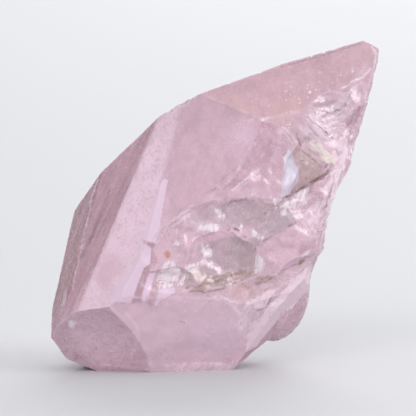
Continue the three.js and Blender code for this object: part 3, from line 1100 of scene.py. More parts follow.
@dataclass
class Crystal:
    """The crystal's one piece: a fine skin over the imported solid."""

    name: str = "crystal_skin"
    grid: float = 0.385
    snap: float = 0.62
    heart: Point = (-3.29, 1.38, 33.0)
    rim_noise: float = 1.3
    rim_seed: float = 3.7
    edge_reach: Span = (0.5, 0.05)
    edge_breaks: Span = (-0.6, 0.4)
    open_reach: Span = (0.2, 1.2)
    free_heights: Span = (0.2, 1.2)
    finish: PinkBeryl = field(default_factory=PinkBeryl)
    relief: Relief = field(default_factory=Relief)
    tint: Colour = linear(212, 182, 194)

    # The flat faces, those that grew and those that broke. Their tints hold painted light and shade: the faces
    # turned away from the light are painted darker, and the etched strip lighter as a painted sheen.
    facets: tuple[Facet, ...] = (
        Facet(-24, 15, 19.8, linear(240, 213, 227), Skin.ETCHED),
        Facet(-54, 22, 20.9, linear(198, 162, 174), Skin.GROWN),
        Facet(-74, 19, 22.8, linear(170, 116, 129), Skin.GROWN),
        Facet(5, 9, 17.0, linear(208, 176, 189), Skin.DULL),
        Facet(15, 30, 23.6, linear(202, 167, 177), Skin.DULL),
        Facet(21, 2, 17.4, linear(210, 176, 190), Skin.UNEVEN),
        Facet(16, -5, 16.0, linear(212, 180, 194), Skin.UNEVEN),
        Facet(-12, -35, 29.4, linear(204, 172, 186), Skin.CLEAN),
        Facet(15, -23, 20.2, linear(222, 194, 208), Skin.CLEAN),
        Facet(53, -35, 26.5, linear(206, 172, 184), Skin.CLEAN),
        Facet(97, -18, 25.4, linear(214, 184, 196), Skin.TORN),
        Facet(115, 60, 47.5, linear(216, 186, 198), Skin.UNEVEN),
        Facet(100, -53, 29.6, linear(200, 166, 178), Skin.UNEVEN),
        Facet(-77, -66, 39.5, linear(208, 176, 188), Skin.UNEVEN),
        Facet(-99, -32, 38.3, linear(204, 170, 184), Skin.UNEVEN),
        Facet(-106, -24, 34.8, linear(202, 168, 182), Skin.CLEAN),
        Facet(-106, 3, 27.9, linear(198, 164, 178), Skin.GROWN),
        Facet(-125, 57, 16.8, linear(212, 182, 194), Skin.DULL),
        Facet(-122, 52, 16.2, linear(212, 182, 194), Skin.DULL),
        Facet(-130, 59, 18.2, linear(214, 184, 196), Skin.UNEVEN),
        Facet(-171, 5, 14.0, linear(212, 180, 194), Skin.GROWN),
        Facet(157, 0, 18.6, linear(208, 176, 190), Skin.UNEVEN),
        Facet(-148, -5, 25.8, linear(220, 192, 206), Skin.ETCHED),
        Facet(176, -37, 26.4, linear(206, 174, 188), Skin.CLEAN),
        Facet(0, -90, 33.0, linear(208, 178, 190), Skin.DULL),
    )

    # Colour within straight sides, in the order in which it is laid.
    areas: tuple[Area, ...] = (
        # The lilac band and the flat steps beside the etched strip; the mauve between the steps is painted
        # shade on their walls.
        Area(Stain.LILAC, ((-9.5, 6.4), (-8.5, 5.9), (-9.5, 0.6), (-11.0, -7.4), (-13.8, -6.6),
            (-12.3, -1.1), (-10.6, 3.2)), 0.9),
        Area(Stain.MAUVE_AND_SHADE, ((-13.8, -6.6), (-11.0, -7.6), (-11.7, -8.7), (-13.6, -7.6)), 0.8),
        Area(Stain.LILAC, ((-13.8, -7.4), (-11.9, -8.5), (-12.3, -11.9), (-13.6, -12.7), (-15.7, -18.2),
            (-16.5, -20.1), (-21.0, -20.1), (-18.0, -14.0), (-15.7, -12.1), (-14.6, -9.1)), 0.9, lift=0.15),
        Area(Stain.MAUVE_AND_SHADE, ((-11.7, -8.7), (-10.4, -11.4), (-12.3, -13.4), (-14.2, -20.1), (-16.3, -20.4),
            (-15.7, -18.2), (-13.6, -12.7), (-12.3, -11.9)), 0.7),
        Area(Stain.LILAC, ((-12.7, -14.0), (-11.0, -13.6), (-12.1, -16.3), (-12.9, -19.5), (-13.8, -20.1),
            (-14.2, -19.5), (-13.4, -16.3)), 0.95, lift=0.25),
        Area(Stain.MAUVE_AND_SHADE, ((-10.8, -14.6), (-11.9, -16.3), (-12.9, -19.9), (-12.1, -21.4), (-11.0, -18.9),
            (-10.2, -16.7)), 0.55),
        Area(Stain.LILAC, ((-10.4, -17.2), (-7.0, -17.0), (-7.0, -18.0), (-10.2, -19.7), (-11.2, -21.2),
            (-11.0, -19.1)), 0.9, lift=0.25),
        # The shaded break beside the pentagon's right edge.
        Area(Stain.MAUVE_AND_SHADE, ((11.2, 18.7), (9.0, 11.3), (5.7, 6.8), (-0.6, 3.4), (4.4, 3.6), (8.1, 5.5),
            (12.7, 9.5), (14.6, 13.1), (14.8, 17.4)), 0.5, rim=0.15),
        # The pale extension of the pentagon, and the pink skin beside the veil.
        Area(Stain.LILAC, ((-9.8, 3.4), (-10.6, -1.5), (-12.1, -6.8), (-11.0, -7.6), (-9.5, -5.3),
            (-8.1, -3.0), (-7.0, -0.8), (-8.1, 2.5)), 0.35),
        Area(Stain.ROSE, ((-11.7, -8.7), (-9.5, -5.9), (-6.8, -8.1), (-4.9, -10.2), (-5.9, -11.4),
            (-7.6, -10.8), (-9.3, -11.4), (-10.8, -13.6), (-12.1, -12.1)), 0.7),
        # The white veil and the olive band under it.
        Area(Stain.VEIL, ((-11.0, -15.3), (-8.7, -11.0), (-7.8, -11.2), (-5.9, -13.1), (-5.9, -15.3),
            (-7.0, -16.1), (-10.6, -15.7)), 0.76),
        Area(Stain.VEIL, ((-10.8, -16.1), (-7.0, -16.1), (-7.2, -16.7), (-10.6, -17.0)), 0.9),
        Area(Stain.VEIL, ((-4.6, -12.3), (-1.1, -11.4), (1.3, -12.0), (2.3, -13.1), (1.7, -13.6),
            (-0.8, -12.1), (-4.2, -12.9)), 0.7),
        Area(Stain.GREY, ((-5.5, -13.1), (-3.4, -12.7), (-0.8, -12.5), (1.5, -13.8), (0.8, -15.1),
            (-2.5, -15.9), (-5.1, -15.7)), 0.8),
        Area(Stain.VEIL, ((-6.6, -16.5), (-4.9, -13.8), (-4.0, -14.4), (-5.3, -16.3)), 0.7),
        Area(Stain.OLIVE, ((-4.7, -16.1), (-2.1, -15.9), (1.3, -14.6), (3.4, -13.4), (9.3, -12.9),
            (10.6, -14.0), (6.8, -15.5), (4.2, -16.5), (1.3, -17.8), (-3.8, -17.6)), 0.7),
        Area(Stain.ROSE, ((-6.8, -11.4), (-4.7, -10.8), (-0.8, -10.8), (0.4, -11.2), (-2.5, -11.7),
            (-5.1, -12.7)), 0.5),
        # The smoky hollow with its pale rim.
        Area(Stain.GREY, ((-2.5, -8.1), (-0.4, -7.0), (4.7, -6.4), (10.2, -6.4), (10.6, -9.5),
            (9.3, -12.9), (3.4, -13.6), (0.0, -11.4), (-2.1, -10.6)), 0.7),
        Area(Stain.SMOKE, ((4.7, -6.6), (7.8, -5.9), (10.0, -6.8), (10.4, -9.8), (9.1, -12.7),
            (5.1, -12.9), (4.0, -10.2)), 0.9),
        Area(Stain.VEIL, ((-1.3, -7.8), (0.2, -7.6), (0.6, -10.2), (-0.6, -11.0), (-1.5, -9.8)), 0.65),
        Area(Stain.VEIL, ((9.3, -4.5), (10.4, -4.9), (11.4, -6.6), (10.4, -7.2), (9.5, -5.9)), 0.6),
        Area(Stain.VEIL, ((10.4, -10.2), (11.9, -10.6), (12.1, -12.7), (10.6, -13.8), (9.3, -13.4),
            (9.8, -11.4)), 0.7),
        # The grey window and the pink skin under it.
        Area(Stain.GREY, ((1.3, 0.8), (7.4, 1.7), (13.6, 0.6), (18.7, -1.3), (17.8, -3.8), (15.3, -4.9),
            (13.4, -6.4), (11.4, -7.0), (10.2, -4.5), (7.8, -4.0), (3.8, -4.5), (3.0, -2.1)), 0.8),
        Area(Stain.GREY, ((-3.8, -1.3), (-0.8, -0.2), (3.4, -0.2), (3.8, -3.8), (0.4, -5.5), (-3.0, -5.1)),
            0.55),
        Area(Stain.SMOKE, ((8.9, 0.4), (13.1, 0.4), (14.4, -1.3), (12.7, -2.8), (8.9, -2.1)), 0.7),
        Area(Stain.VEIL, ((1.3, -0.2), (2.3, -0.2), (3.6, -1.7), (3.4, -3.4), (2.3, -2.3)), 0.65),
        Area(Stain.HAZE, ((-3.1, -3.0), (3.0, -2.8), (3.2, -4.2), (0.4, -5.5), (-3.3, -5.1)), 0.6),
        Area(Stain.VEIL, ((-2.1, -3.9), (2.4, -3.4), (3.0, -4.2), (0.4, -5.3), (-2.3, -4.9)), 0.6),
        Area(Stain.ROSE, ((-5.9, -5.5), (-0.4, -5.9), (3.4, -4.7), (4.5, -5.9), (-0.4, -7.2), (-3.8, -8.5),
            (-6.1, -7.6)), 0.8),
        Area(Stain.ROSE, ((4.2, -4.7), (8.1, -4.5), (8.9, -5.5), (6.4, -6.1), (4.7, -5.9)), 0.6),
        Area(Stain.VEIL, ((15.3, 0.4), (16.7, 0.2), (16.5, -1.7), (15.3, -1.3)), 0.55),
        # The pink dome and the streaked breaks round it.
        Area(Stain.ROSE, ((11.2, -7.4), (15.9, -5.9), (19.3, -6.6), (18.9, -11.2), (15.9, -13.1),
            (12.9, -10.6)), 0.9),
        Area(Stain.ROSE, ((17.0, -3.8), (18.7, -1.5), (20.8, -0.8), (22.9, -4.7), (20.8, -6.8),
            (16.1, -5.7)), 0.8),
        Area(Stain.MAUVE_AND_SHADE, ((19.3, -7.0), (22.9, -6.8), (22.9, -9.8), (20.6, -11.4), (19.1, -10.2)), 0.5),
        Area(Stain.PEACH, ((6.4, -15.3), (8.9, -16.1), (11.4, -17.4), (9.8, -19.7), (7.0, -20.6),
            (5.1, -19.5), (4.2, -16.7)), 0.5, rim=0.8),
        Area(Stain.PEACH, ((9.8, -14.0), (13.6, -13.6), (16.1, -14.4), (12.7, -17.4), (9.8, -16.1)), 0.5),
        # Painted highlights: pale streaks and the long ridge at the lower right.
        Area(Stain.PALE_SKIN_AND_HIGHLIGHT, ((10.2, -19.1), (12.7, -17.4), (14.4, -17.4), (13.1, -19.5), (11.4, -21.2),
            (9.8, -21.0)), 0.6),
        Area(Stain.PALE_SKIN_AND_HIGHLIGHT, ((21.8, -11.9), (22.0, -16.1), (19.1, -19.9), (15.9, -22.5), (12.7, -26.1),
            (10.2, -29.3), (7.8, -30.5), (8.9, -26.3), (13.1, -20.4), (18.7, -14.8)), 1.0),
        Area(Stain.PALE_SKIN_AND_HIGHLIGHT, ((2.3, -18.4), (6.8, -21.2), (10.6, -22.0), (11.4, -23.3), (8.5, -28.0),
            (6.4, -25.9), (5.9, -22.0), (3.8, -19.9)), 0.45),
        # The bluish crescent, a painted reflection on the curved wall of the notch, the brown window and the
        # cream ridge.
        Area(Stain.BLUISH_REFLECTION, ((17.2, 12.7), (18.0, 11.0), (18.9, 8.1), (18.9, 5.1), (17.6, 3.4), (16.1, 2.3),
            (15.3, 2.5), (15.9, 5.1), (16.3, 8.1), (16.3, 11.0)), 1.0),
        Area(Stain.BROWN, ((18.0, 13.6), (20.6, 11.9), (24.2, 8.5), (24.0, 6.8), (21.4, 5.3), (18.9, 4.0),
            (19.1, 8.1), (18.0, 11.9)), 0.75),
        Area(Stain.CREAM, ((21.4, 14.2), (22.7, 14.6), (25.0, 12.5), (26.9, 10.8), (26.7, 9.5),
            (25.0, 8.9), (22.9, 11.4), (21.4, 13.4)), 0.85),
        Area(Stain.PALE_SKIN_AND_HIGHLIGHT, ((26.9, 14.6), (28.8, 15.3), (30.1, 13.1), (29.9, 11.0), (27.6, 12.3),
            (25.4, 13.6)), 0.9),
        Area(Stain.PALE_SKIN_AND_HIGHLIGHT, ((26.7, 10.8), (29.3, 11.9), (28.6, 8.9), (27.1, 6.4), (25.9, 7.2)), 0.8),
        Area(Stain.VEIL, ((13.1, 2.5), (15.7, 2.1), (21.2, 4.7), (21.6, 1.3), (18.7, -0.2), (14.4, 0.4)),
            0.5),
        # The rippled shell and the mauve break at the upper right.
        Area(Stain.PALE, ((20.1, 19.9), (21.4, 21.2), (24.6, 20.8), (26.7, 22.0), (28.6, 24.6),
            (30.3, 23.3), (29.9, 20.8), (29.0, 18.4), (28.2, 15.9), (26.7, 14.8), (24.2, 16.7),
            (21.4, 18.9)), 0.5),
        Area(Stain.PALE, ((19.5, 18.2), (21.4, 18.7), (26.7, 14.6), (25.0, 13.6), (21.6, 14.8),
            (19.1, 16.1)), 0.55),
        Area(Stain.MAUVE_AND_SHADE, ((28.8, 27.3), (32.6, 27.1), (33.3, 23.7), (31.4, 22.9), (29.0, 24.6)), 0.35),
        Area(Stain.MAUVE_AND_SHADE, ((29.3, 19.3), (31.6, 21.6), (33.3, 22.0), (32.0, 18.9), (30.5, 15.5),
            (28.8, 15.5)), 0.75),
        Area(Stain.BROWN, ((16.5, 18.7), (18.9, 18.2), (19.9, 15.3), (18.7, 14.4), (17.4, 16.5)), 0.4),
        # The face above the pentagon.
        Area(Stain.PEACH, ((12.7, 22.0), (16.1, 23.3), (20.1, 23.5), (20.4, 20.4), (17.0, 17.4),
            (13.6, 17.2)), 0.45, rim=1.2),
        Area(Stain.PEACH, ((1.3, 23.3), (5.1, 24.0), (11.4, 20.4), (10.2, 19.1), (5.1, 21.2)), 0.4, 0.0, 0.9),
        # The strip along the right side, lightened with painted light, since it faces down to the right, away
        # from the lamps.
        Area(Stain.PALE_SKIN_AND_HIGHLIGHT, ((25.9, 6.8), (27.3, 6.4), (26.7, 2.5), (25.2, -1.7), (22.9, -5.1),
            (22.0, -3.0), (23.3, 1.7)), 0.5),
        Area(Stain.PALE_SKIN_AND_HIGHLIGHT, ((20.1, -1.3), (23.3, 1.7), (24.2, -3.0), (22.5, -5.9)), 0.4),
    )
    # Ovals of colour, laid over the areas.
    patches: tuple[Patch, ...] = (
        # The shade and the lights on the left faces.
        Patch(Stain.MAUVE_AND_SHADE, Oval(-24.5, -6.0, 9.0, 1.4, 68, 0.35)),
        Patch(Stain.ROSE, Oval(-27.6, -20.0, 4.6, 0.5, 70, 0.6)),
        Patch(Stain.ROSE, Oval(-30.6, -20.5, 4.0, 0.5, 80, 0.5)),
        # Small white chips.
        Patch(Stain.VEIL, Oval(-28.8, -24.5, 0.75, 0.8, 0, 1.0, 0.25)),
        Patch(Stain.VEIL, Oval(-6.7, -7.6, 0.6, 0.35, 0, 1.0, 0.3)),
        Patch(Stain.VEIL, Oval(21.6, 24.6, 0.35, 0.3, 0, 0.9, 0.3)),
        Patch(Stain.VEIL, Oval(25.0, 25.8, 0.2, 0.2, 0, 0.8, 0.3)),
        Patch(Stain.VEIL, Oval(11.7, 18.8, 0.3, 0.3, 0, 0.9, 0.3)),
        Patch(Stain.VEIL, Oval(30.5, 29.1, 0.2, 0.55, -10, 0.8, 0.3)),
        Patch(Stain.VEIL, Oval(26.4, 21.6, 0.3, 0.3, 0, 1.0, 0.3)),
        Patch(Stain.VEIL, Oval(20.6, 9.5, 0.5, 0.28, -45, 1.0, 0.3)),
        Patch(Stain.VEIL, Oval(9.7, -4.9, 0.3, 0.3, 0, 0.9, 0.3)),
        Patch(Stain.VEIL, Oval(11.0, -6.4, 0.3, 0.3, 0, 0.9, 0.3)),
        Patch(Stain.VEIL, Oval(2.2, -13.8, 0.25, 0.4, 0, 0.9, 0.3)),
        Patch(Stain.VEIL, Oval(20.2, -16.3, 0.3, 0.5, 0, 0.8, 0.3)),
        Patch(Stain.GREY, Oval(-2.3, -13.9, 2.6, 1.1, 14, 0.8, 0.6)),
        Patch(Stain.BROWN, Oval(-2.3, -14.4, 1.6, 1.5, 0, 0.7, 0.6)),
        # Rust, and the dark spot at the end of the crack.
        Patch(Stain.RUST, Oval(-8.6, -9.9, 0.7, 0.75, 20, 0.9, 0.5)),
        Patch(Stain.OLIVE, Oval(19.8, -11.3, 0.7, 0.4, 45, 0.9, 0.4)),
        # Soft clouds in the large faces, with painted shade in mauve on the lower right lobe, and pale marks
        # that are partly painted highlights.
        Patch(Stain.HAZE, Oval(6.8, 15.5, 3.6, 3.0, 20, 0.6, 0.9)),
        Patch(Stain.HAZE, Oval(31.0, 26.0, 7.0, 0.8, 62, 0.45, 0.5)),
        Patch(Stain.HAZE, Oval(-24.6, -26.8, 7.4, 5.2, -10, 0.45, 0.7)),
        Patch(Stain.OLIVE, Oval(-28.2, -31.0, 2.2, 0.8, -24, 0.35, 0.9)),
        Patch(Stain.ROSE, Oval(-6.0, -32.2, 15.0, 1.0, -1, 0.55, 0.6)),
        Patch(Stain.PALE_SKIN_AND_HIGHLIGHT, Oval(0.0, -33.6, 9.0, 0.9, 0, 0.5, 0.6)),
        Patch(Stain.HAZE, Oval(2.0, -25.0, 9.0, 4.0, 15, 0.5, 0.9)),
        Patch(Stain.PALE_SKIN_AND_HIGHLIGHT, Oval(9.6, -20.4, 2.6, 0.9, 24, 0.7, 0.6)),
        Patch(Stain.VEIL, Oval(26.0, -1.0, 12.0, 0.6, 76, 0.35, 0.5)),
        # Painted shade on the lobe at the lower right, which faces down and away from the light.
        Patch(Stain.MAUVE_AND_SHADE, Oval(19.0, -22.6, 4.0, 2.4, 50, 0.5, 0.8)),
        Patch(Stain.MAUVE_AND_SHADE, Oval(29.0, 29.5, 4.5, 3.0, 20, 0.3, 0.9)),
        Patch(Stain.ROSE, Oval(-21.5, -13.5, 4.4, 2.4, 66, 0.7, 0.7)),
        Patch(Stain.HAZE, Oval(3.0, -26.4, 5.0, 3.0, 10, 1.0, 0.7)),
        # The sides that lie behind.
        Patch(Stain.HAZE, Oval(8.0, 2.0, 12.0, 4.0, 60, 0.5, 0.9, View.BACK)),
        Patch(Stain.GREY, Oval(-17.0, -1.0, 4.6, 3.2, 20, 0.6, 0.7, View.BACK)),
        Patch(Stain.VEIL, Oval(-18.0, -5.0, 2.6, 1.1, 30, 0.7, 0.6, View.BACK)),
        Patch(Stain.VEIL, Oval(-22.0, 12.0, 3.0, 0.9, 70, 0.6, 0.6, View.BACK)),
        Patch(Stain.PEACH, Oval(2.0, -20.0, 8.0, 3.0, -15, 0.5, 0.8, View.BACK)),
        Patch(Stain.PALE_SKIN_AND_HIGHLIGHT, Oval(-12.0, -22.0, 5.0, 1.0, 10, 0.5, 0.6, View.BACK)),
        Patch(Stain.MAUVE_AND_SHADE, Oval(18.0, 4.0, 9.0, 1.2, 70, 0.5, 0.7, View.BACK)),
        Patch(Stain.GREY, Oval(2.0, -10.0, 5.0, 3.4, 60, 0.6, 0.7, View.RIGHT)),
        Patch(Stain.VEIL, Oval(4.0, -6.0, 2.4, 0.9, 50, 0.7, 0.6, View.RIGHT)),
        Patch(Stain.PALE_SKIN_AND_HIGHLIGHT, Oval(-2.0, 8.0, 9.0, 0.8, 80, 0.6, 0.6, View.RIGHT)),
        Patch(Stain.MAUVE_AND_SHADE, Oval(3.0, -2.0, 10.0, 1.2, 80, 0.5, 0.7, View.LEFT)),
        Patch(Stain.PALE, Oval(-4.0, 4.0, 8.0, 0.8, 78, 0.5, 0.7, View.LEFT)),
    )

    # Where a blow struck, and where ripples, wandering rims, clear windows and flecks are.
    struck_at: Spot = (22.7, 27.1)
    rippled_zones: tuple[Oval, ...] = (Oval(27.0, 19.4, 6.5, 4.5, -40, 1.0, 0.5),)
    loose_zones: tuple[Oval, ...] = (
        Oval(9.0, -3.0, 19.0, 11.0, 42, 1.0, 0.3),
        Oval(24.0, 13.0, 9.0, 6.0, 60, 0.8, 0.4),
    )
    glassy_zones: tuple[Oval, ...] = (
        Oval(8.0, -1.0, 11.0, 4.6, 12, 1.0, 0.4),
        Oval(2.0, -11.5, 12.5, 5.6, 4, 1.0, 0.4),
        Oval(14.0, -17.0, 9.0, 4.0, 38, 0.9, 0.4),
        Oval(24.5, 15.5, 9.0, 6.0, 52, 0.9, 0.4),
        Oval(24.0, 2.0, 12.0, 3.4, 74, 0.8, 0.4),
        Oval(-18.0, -2.0, 8.0, 5.0, 30, 0.9, 0.5, View.BACK),
        Oval(2.0, -8.0, 9.0, 5.0, 70, 0.9, 0.5, View.RIGHT),
    )
    pale_fleck_zones: tuple[Oval, ...] = (
        Oval(20.0, 24.0, 13.0, 4.0, 25, 0.8, 0.5),
        Oval(-17.0, -4.0, 24.0, 3.4, 66, 0.5, 0.4),
        Oval(-27.4, -9.0, 9.0, 1.4, 75, 0.8, 0.5),
        Oval(30.0, 8.0, 26.0, 1.6, 72, 0.7, 0.5),
        Oval(-20.0, 4.0, 20.0, 3.0, 110, 0.7, 0.5, View.BACK),
        Oval(0.0, 2.0, 24.0, 5.0, 85, 0.6, 0.5, View.LEFT),
        Oval(0.0, 0.0, 20.0, 6.0, 85, 0.6, 0.5, View.RIGHT),
    )
    dark_fleck_zones: tuple[Oval, ...] = (
        Oval(21.0, 6.6, 2.4, 1.4, 25, 0.9, 0.4),
        Oval(24.8, 9.2, 0.9, 1.2, 0, 0.9, 0.4),
        Oval(6.6, 1.7, 1.9, 0.22, 0, 0.9, 0.4),
        Oval(5.4, -4.5, 1.5, 0.35, 0, 1.0, 0.4),
        Oval(12.4, -1.2, 1.6, 1.2, 0, 0.6, 0.4),
        Oval(18.0, -0.2, 1.6, 1.2, 0, 0.6, 0.4),
        Oval(12.4, -6.2, 1.6, 0.8, 30, 0.7, 0.4),
    )

    # Hair lines: pale cracks and edges, with painted highlights along two edges; dark cracks and specks, with
    # painted shade along the top edge; and stained cracks.
    pale_hairs: tuple[Hair, ...] = (
        # Painted highlight: the bright rim along the tip's right edge.
        Hair(((34.6, 34.2), (35.6, 33.2), (35.4, 31.0), (34.9, 28.0)), 0.3, 0.8),
        Hair(((-17.3, -22.4), (-15.3, -24.8), (-14.6, -27.6), (-16.4, -31.4)), 0.5, 0.45),
        Hair(((-22.0, 8.1), (-23.5, 5.7), (-24.4, 3.0), (-24.8, 1.3)), 0.20, 0.7),
        Hair(((-24.8, 1.3), (-25.2, -1.5), (-25.9, -3.8), (-26.5, -6.1), (-26.9, -8.3)), 0.30, 0.8),
        Hair(((-26.9, -8.3), (-27.6, -11.9), (-28.2, -13.6), (-28.6, -17.4)), 0.20, 0.7),
        # Painted highlight: the thin bright line along the prism edge, at the etched strip's left side.
        Hair(((-12.1, 14.4), (-17.0, 3.6), (-22.0, -8.1), (-26.1, -17.4)), 0.16, 0.5),
        Hair(((-24.4, -15.6), (-24.2, -16.8), (-23.2, -18.4)), 0.5, 0.9),
        Hair(((28.2, 25.2), (30.5, 26.7), (32.9, 27.8), (34.8, 29.7)), 0.34, 0.8),
        Hair(((34.8, 29.7), (33.5, 24.0), (32.2, 20.4)), 0.22, 0.6),
        Hair(((15.9, 17.2), (17.4, 15.9), (18.7, 14.0)), 0.28, 0.9),
        Hair(((15.1, 16.7), (16.5, 15.7), (18.0, 13.8)), 0.2, 0.7),
        Hair(((21.4, 19.1), (24.2, 17.2), (27.1, 14.8)), 0.2, 0.7),
        Hair(((20.8, 18.7), (23.3, 16.5), (26.1, 14.2)), 0.18, 0.6),
        Hair(((20.6, -1.7), (21.4, -3.6), (22.7, -5.1)), 0.22, 0.8),
        Hair(((21.8, -1.1), (22.9, -3.0), (23.7, -4.5)), 0.2, 0.7),
        Hair(((19.7, -2.1), (20.8, -3.8), (21.8, -5.3)), 0.16, 0.5),
        Hair(((5.1, 3.8), (7.0, 5.3), (9.5, 7.2), (11.9, 9.1)), 0.3, 0.7),
        Hair(((5.9, 3.6), (8.1, 5.3), (10.6, 7.6)), 0.16, 0.5),
        Hair(((-6.6, -4.5), (-6.7, -6.8)), 0.24, 0.8),
        Hair(((-8.1, -3.0), (-6.1, -1.7), (-4.2, -0.4)), 0.24, 0.7),
        Hair(((-7.6, -3.8), (-5.7, -2.5), (-3.8, -1.3)), 0.22, 0.7),
        Hair(((-6.4, -3.4), (-5.1, -2.3), (-3.8, -1.9)), 0.3, 0.6),
        Hair(((-11.0, -7.6), (-9.5, -5.5), (-8.1, -3.0)), 0.22, 0.6),
        Hair(((-1.7, -20.6), (2.3, -18.4), (5.1, -20.1), (7.0, -22.5)), 0.3, 0.6),
        Hair(((4.2, -16.7), (6.8, -15.1)), 0.26, 0.8),
        Hair(((21.6, -12.7), (17.4, -15.3), (14.0, -17.6)), 0.24, 0.7),
        Hair(((19.5, -13.1), (15.7, -15.3), (12.7, -17.0)), 0.2, 0.5),
        Hair(((20.0, -10.3), (21.4, -9.0)), 0.44, 1.0),
        Hair(((21.2, -14.4), (17.8, -17.8), (13.6, -22.0), (10.2, -26.3)), 0.3, 0.6),
        Hair(((18.7, -18.7), (14.4, -23.3), (11.4, -27.1)), 0.2, 0.5),
        Hair(((16.1, -19.1), (11.4, -23.3), (8.9, -28.0)), 0.26, 0.5),
        Hair(((27.1, 6.4), (26.5, 3.4), (25.4, -0.4), (23.7, -4.2), (22.9, -8.1)), 0.22, 0.7),
        Hair(((26.3, 6.8), (25.7, 3.8), (24.2, -0.8)), 0.2, 0.6),
        Hair(((15.5, -1.7), (18.7, -0.8), (20.6, -0.4)), 0.2, 0.7),
        Hair(((-3.8, -12.1), (-1.1, -11.3), (1.1, -12.0), (2.1, -13.1)), 0.26, 0.9),
        Hair(((-1.1, -7.6), (-0.8, -10.4)), 0.2, 0.8),
        Hair(((-0.2, -7.4), (0.0, -10.6)), 0.16, 0.7),
        Hair(((10.2, -10.6), (11.4, -11.4), (11.0, -13.1)), 0.3, 0.7),
        Hair(((-9.1, -11.7), (-10.8, -15.1)), 0.2, 0.7),
        Hair(((-8.5, -11.4), (-8.9, -15.3)), 0.16, 0.6),
        Hair(((-7.8, -11.7), (-6.8, -15.7)), 0.16, 0.6),
        Hair(((-22.9, -33.1), (-14.4, -34.1), (-5.9, -34.3), (1.5, -34.6)), 0.3, 0.5),
        Hair(((-24.2, -15.5), (-23.5, -16.7), (-22.9, -17.8)), 0.28, 0.8),
        Hair(((12.0, 16.0), (15.0, 7.0), (17.0, -4.0), (20.0, -14.0)), 0.22, 0.6, View.BACK),
        Hair(((-24.0, 16.0), (-20.0, 6.0), (-19.0, -4.0)), 0.24, 0.7, View.BACK),
        Hair(((-6.0, -8.0), (2.0, -12.0), (9.0, -13.0)), 0.2, 0.6, View.BACK),
        Hair(((-3.0, 14.0), (0.0, 2.0), (1.0, -9.0)), 0.2, 0.6, View.LEFT),
        Hair(((-2.0, 12.0), (1.0, 2.0), (2.0, -8.0)), 0.22, 0.7, View.RIGHT),
    )
    dark_hairs: tuple[Hair, ...] = (
        Hair(((4.8, 1.6), (5.0, 1.6)), 0.22, 0.8),
        Hair(((5.7, 1.65), (6.2, 1.6)), 0.28, 0.9),
        Hair(((6.8, 1.6), (6.9, 1.6)), 0.22, 0.8),
        Hair(((8.0, 1.7), (8.2, 1.7)), 0.2, 0.7),
        Hair(((4.2, -4.7), (4.4, -4.7)), 0.3, 0.9),
        Hair(((5.8, -4.4), (6.2, -4.5), (6.6, -4.8)), 0.34, 1.0),
        Hair(((7.5, -6.0), (7.8, -6.1)), 0.28, 0.7),
        Hair(((11.9, -1.2), (12.3, -0.9)), 0.24, 0.7),
        Hair(((13.1, -6.1), (13.6, -5.9)), 0.26, 0.8),
        Hair(((16.8, -0.4), (17.1, -0.5)), 0.24, 0.6),
        Hair(((22.9, 21.0), (24.6, 20.4), (26.3, 20.1), (27.8, 20.8), (29.0, 22.0)), 0.26, 0.7),
        Hair(((23.3, 19.9), (25.4, 19.3), (27.6, 19.5), (29.0, 20.6)), 0.16, 0.4),
        Hair(((21.0, 19.3), (23.7, 17.2), (26.7, 14.6)), 0.22, 0.7),
        Hair(((19.9, 18.2), (22.5, 16.1), (25.0, 13.8)), 0.18, 0.4),
        Hair(((32.2, 21.6), (30.5, 19.1), (28.8, 15.7)), 0.18, 0.6),
        Hair(((33.1, 22.5), (31.8, 19.9), (29.9, 15.7)), 0.16, 0.5),
        Hair(((30.5, 22.0), (29.5, 19.9), (28.4, 17.4)), 0.14, 0.4),
        Hair(((26.7, 6.1), (25.9, 2.8), (24.6, -0.6)), 0.2, 0.6),
        Hair(((25.0, 7.2), (23.7, 3.8)), 0.12, 0.3),
        Hair(((13.4, -18.9), (12.5, -20.8), (10.6, -21.8)), 0.22, 0.8),
        Hair(((20.6, -11.2), (17.2, -12.5), (12.3, -15.7), (10.2, -16.3)), 0.2, 0.55),
        Hair(((18.7, -13.1), (15.3, -15.5), (11.4, -17.8)), 0.14, 0.45),
        Hair(((17.0, -4.0), (18.7, -3.0)), 0.22, 0.7),
        Hair(((11.7, -7.0), (13.4, -6.1)), 0.24, 0.8),
        Hair(((10.2, -7.6), (10.2, -10.0)), 0.2, 0.7),
        Hair(((10.8, 1.3), (13.6, 0.4), (16.1, 0.0)), 0.14, 0.4),
        Hair(((-6.8, -1.3), (-4.7, 0.2), (-3.4, 1.1)), 0.12, 0.4),
        Hair(((-7.8, -3.4), (-5.9, -2.1), (-4.0, -0.8)), 0.12, 0.6),
        Hair(((-7.2, -4.2), (-5.1, -2.8)), 0.12, 0.5),
        Hair(((-21.8, 1.5), (-24.2, -4.9), (-26.7, -10.6)), 0.5, 0.35),
        Hair(((-22.9, -1.7), (-25.0, -7.6)), 0.2, 0.5),
        Hair(((-20.8, 3.8), (-22.3, 0.0)), 0.24, 0.4),
        Hair(((-11.9, -8.5), (-12.1, -11.9), (-13.4, -12.9)), 0.2, 0.5),
        Hair(((-10.6, -15.3), (-7.0, -15.9)), 0.14, 0.5),
        Hair(((-6.4, -24.0), (-5.1, -24.2)), 0.18, 0.8),
        Hair(((7.8, 10.2), (6.1, 8.5), (4.5, 7.0), (1.3, 5.1)), 0.14, 0.35),
        Hair(((11.4, 17.8), (10.0, 14.6), (7.8, 10.2)), 0.14, 0.3),
        # Painted shade: a thin dark line along the top edge.
        Hair(((2.6, 25.9), (16.0, 30.0), (25.0, 32.6), (32.2, 34.8)), 0.2, 0.5),
        Hair(((-14.0, 4.0), (-17.0, -3.0), (-15.0, -9.0)), 0.2, 0.6, View.BACK),
        Hair(((9.0, 8.0), (12.0, -1.0), (13.0, -8.0)), 0.16, 0.5, View.BACK),
    )
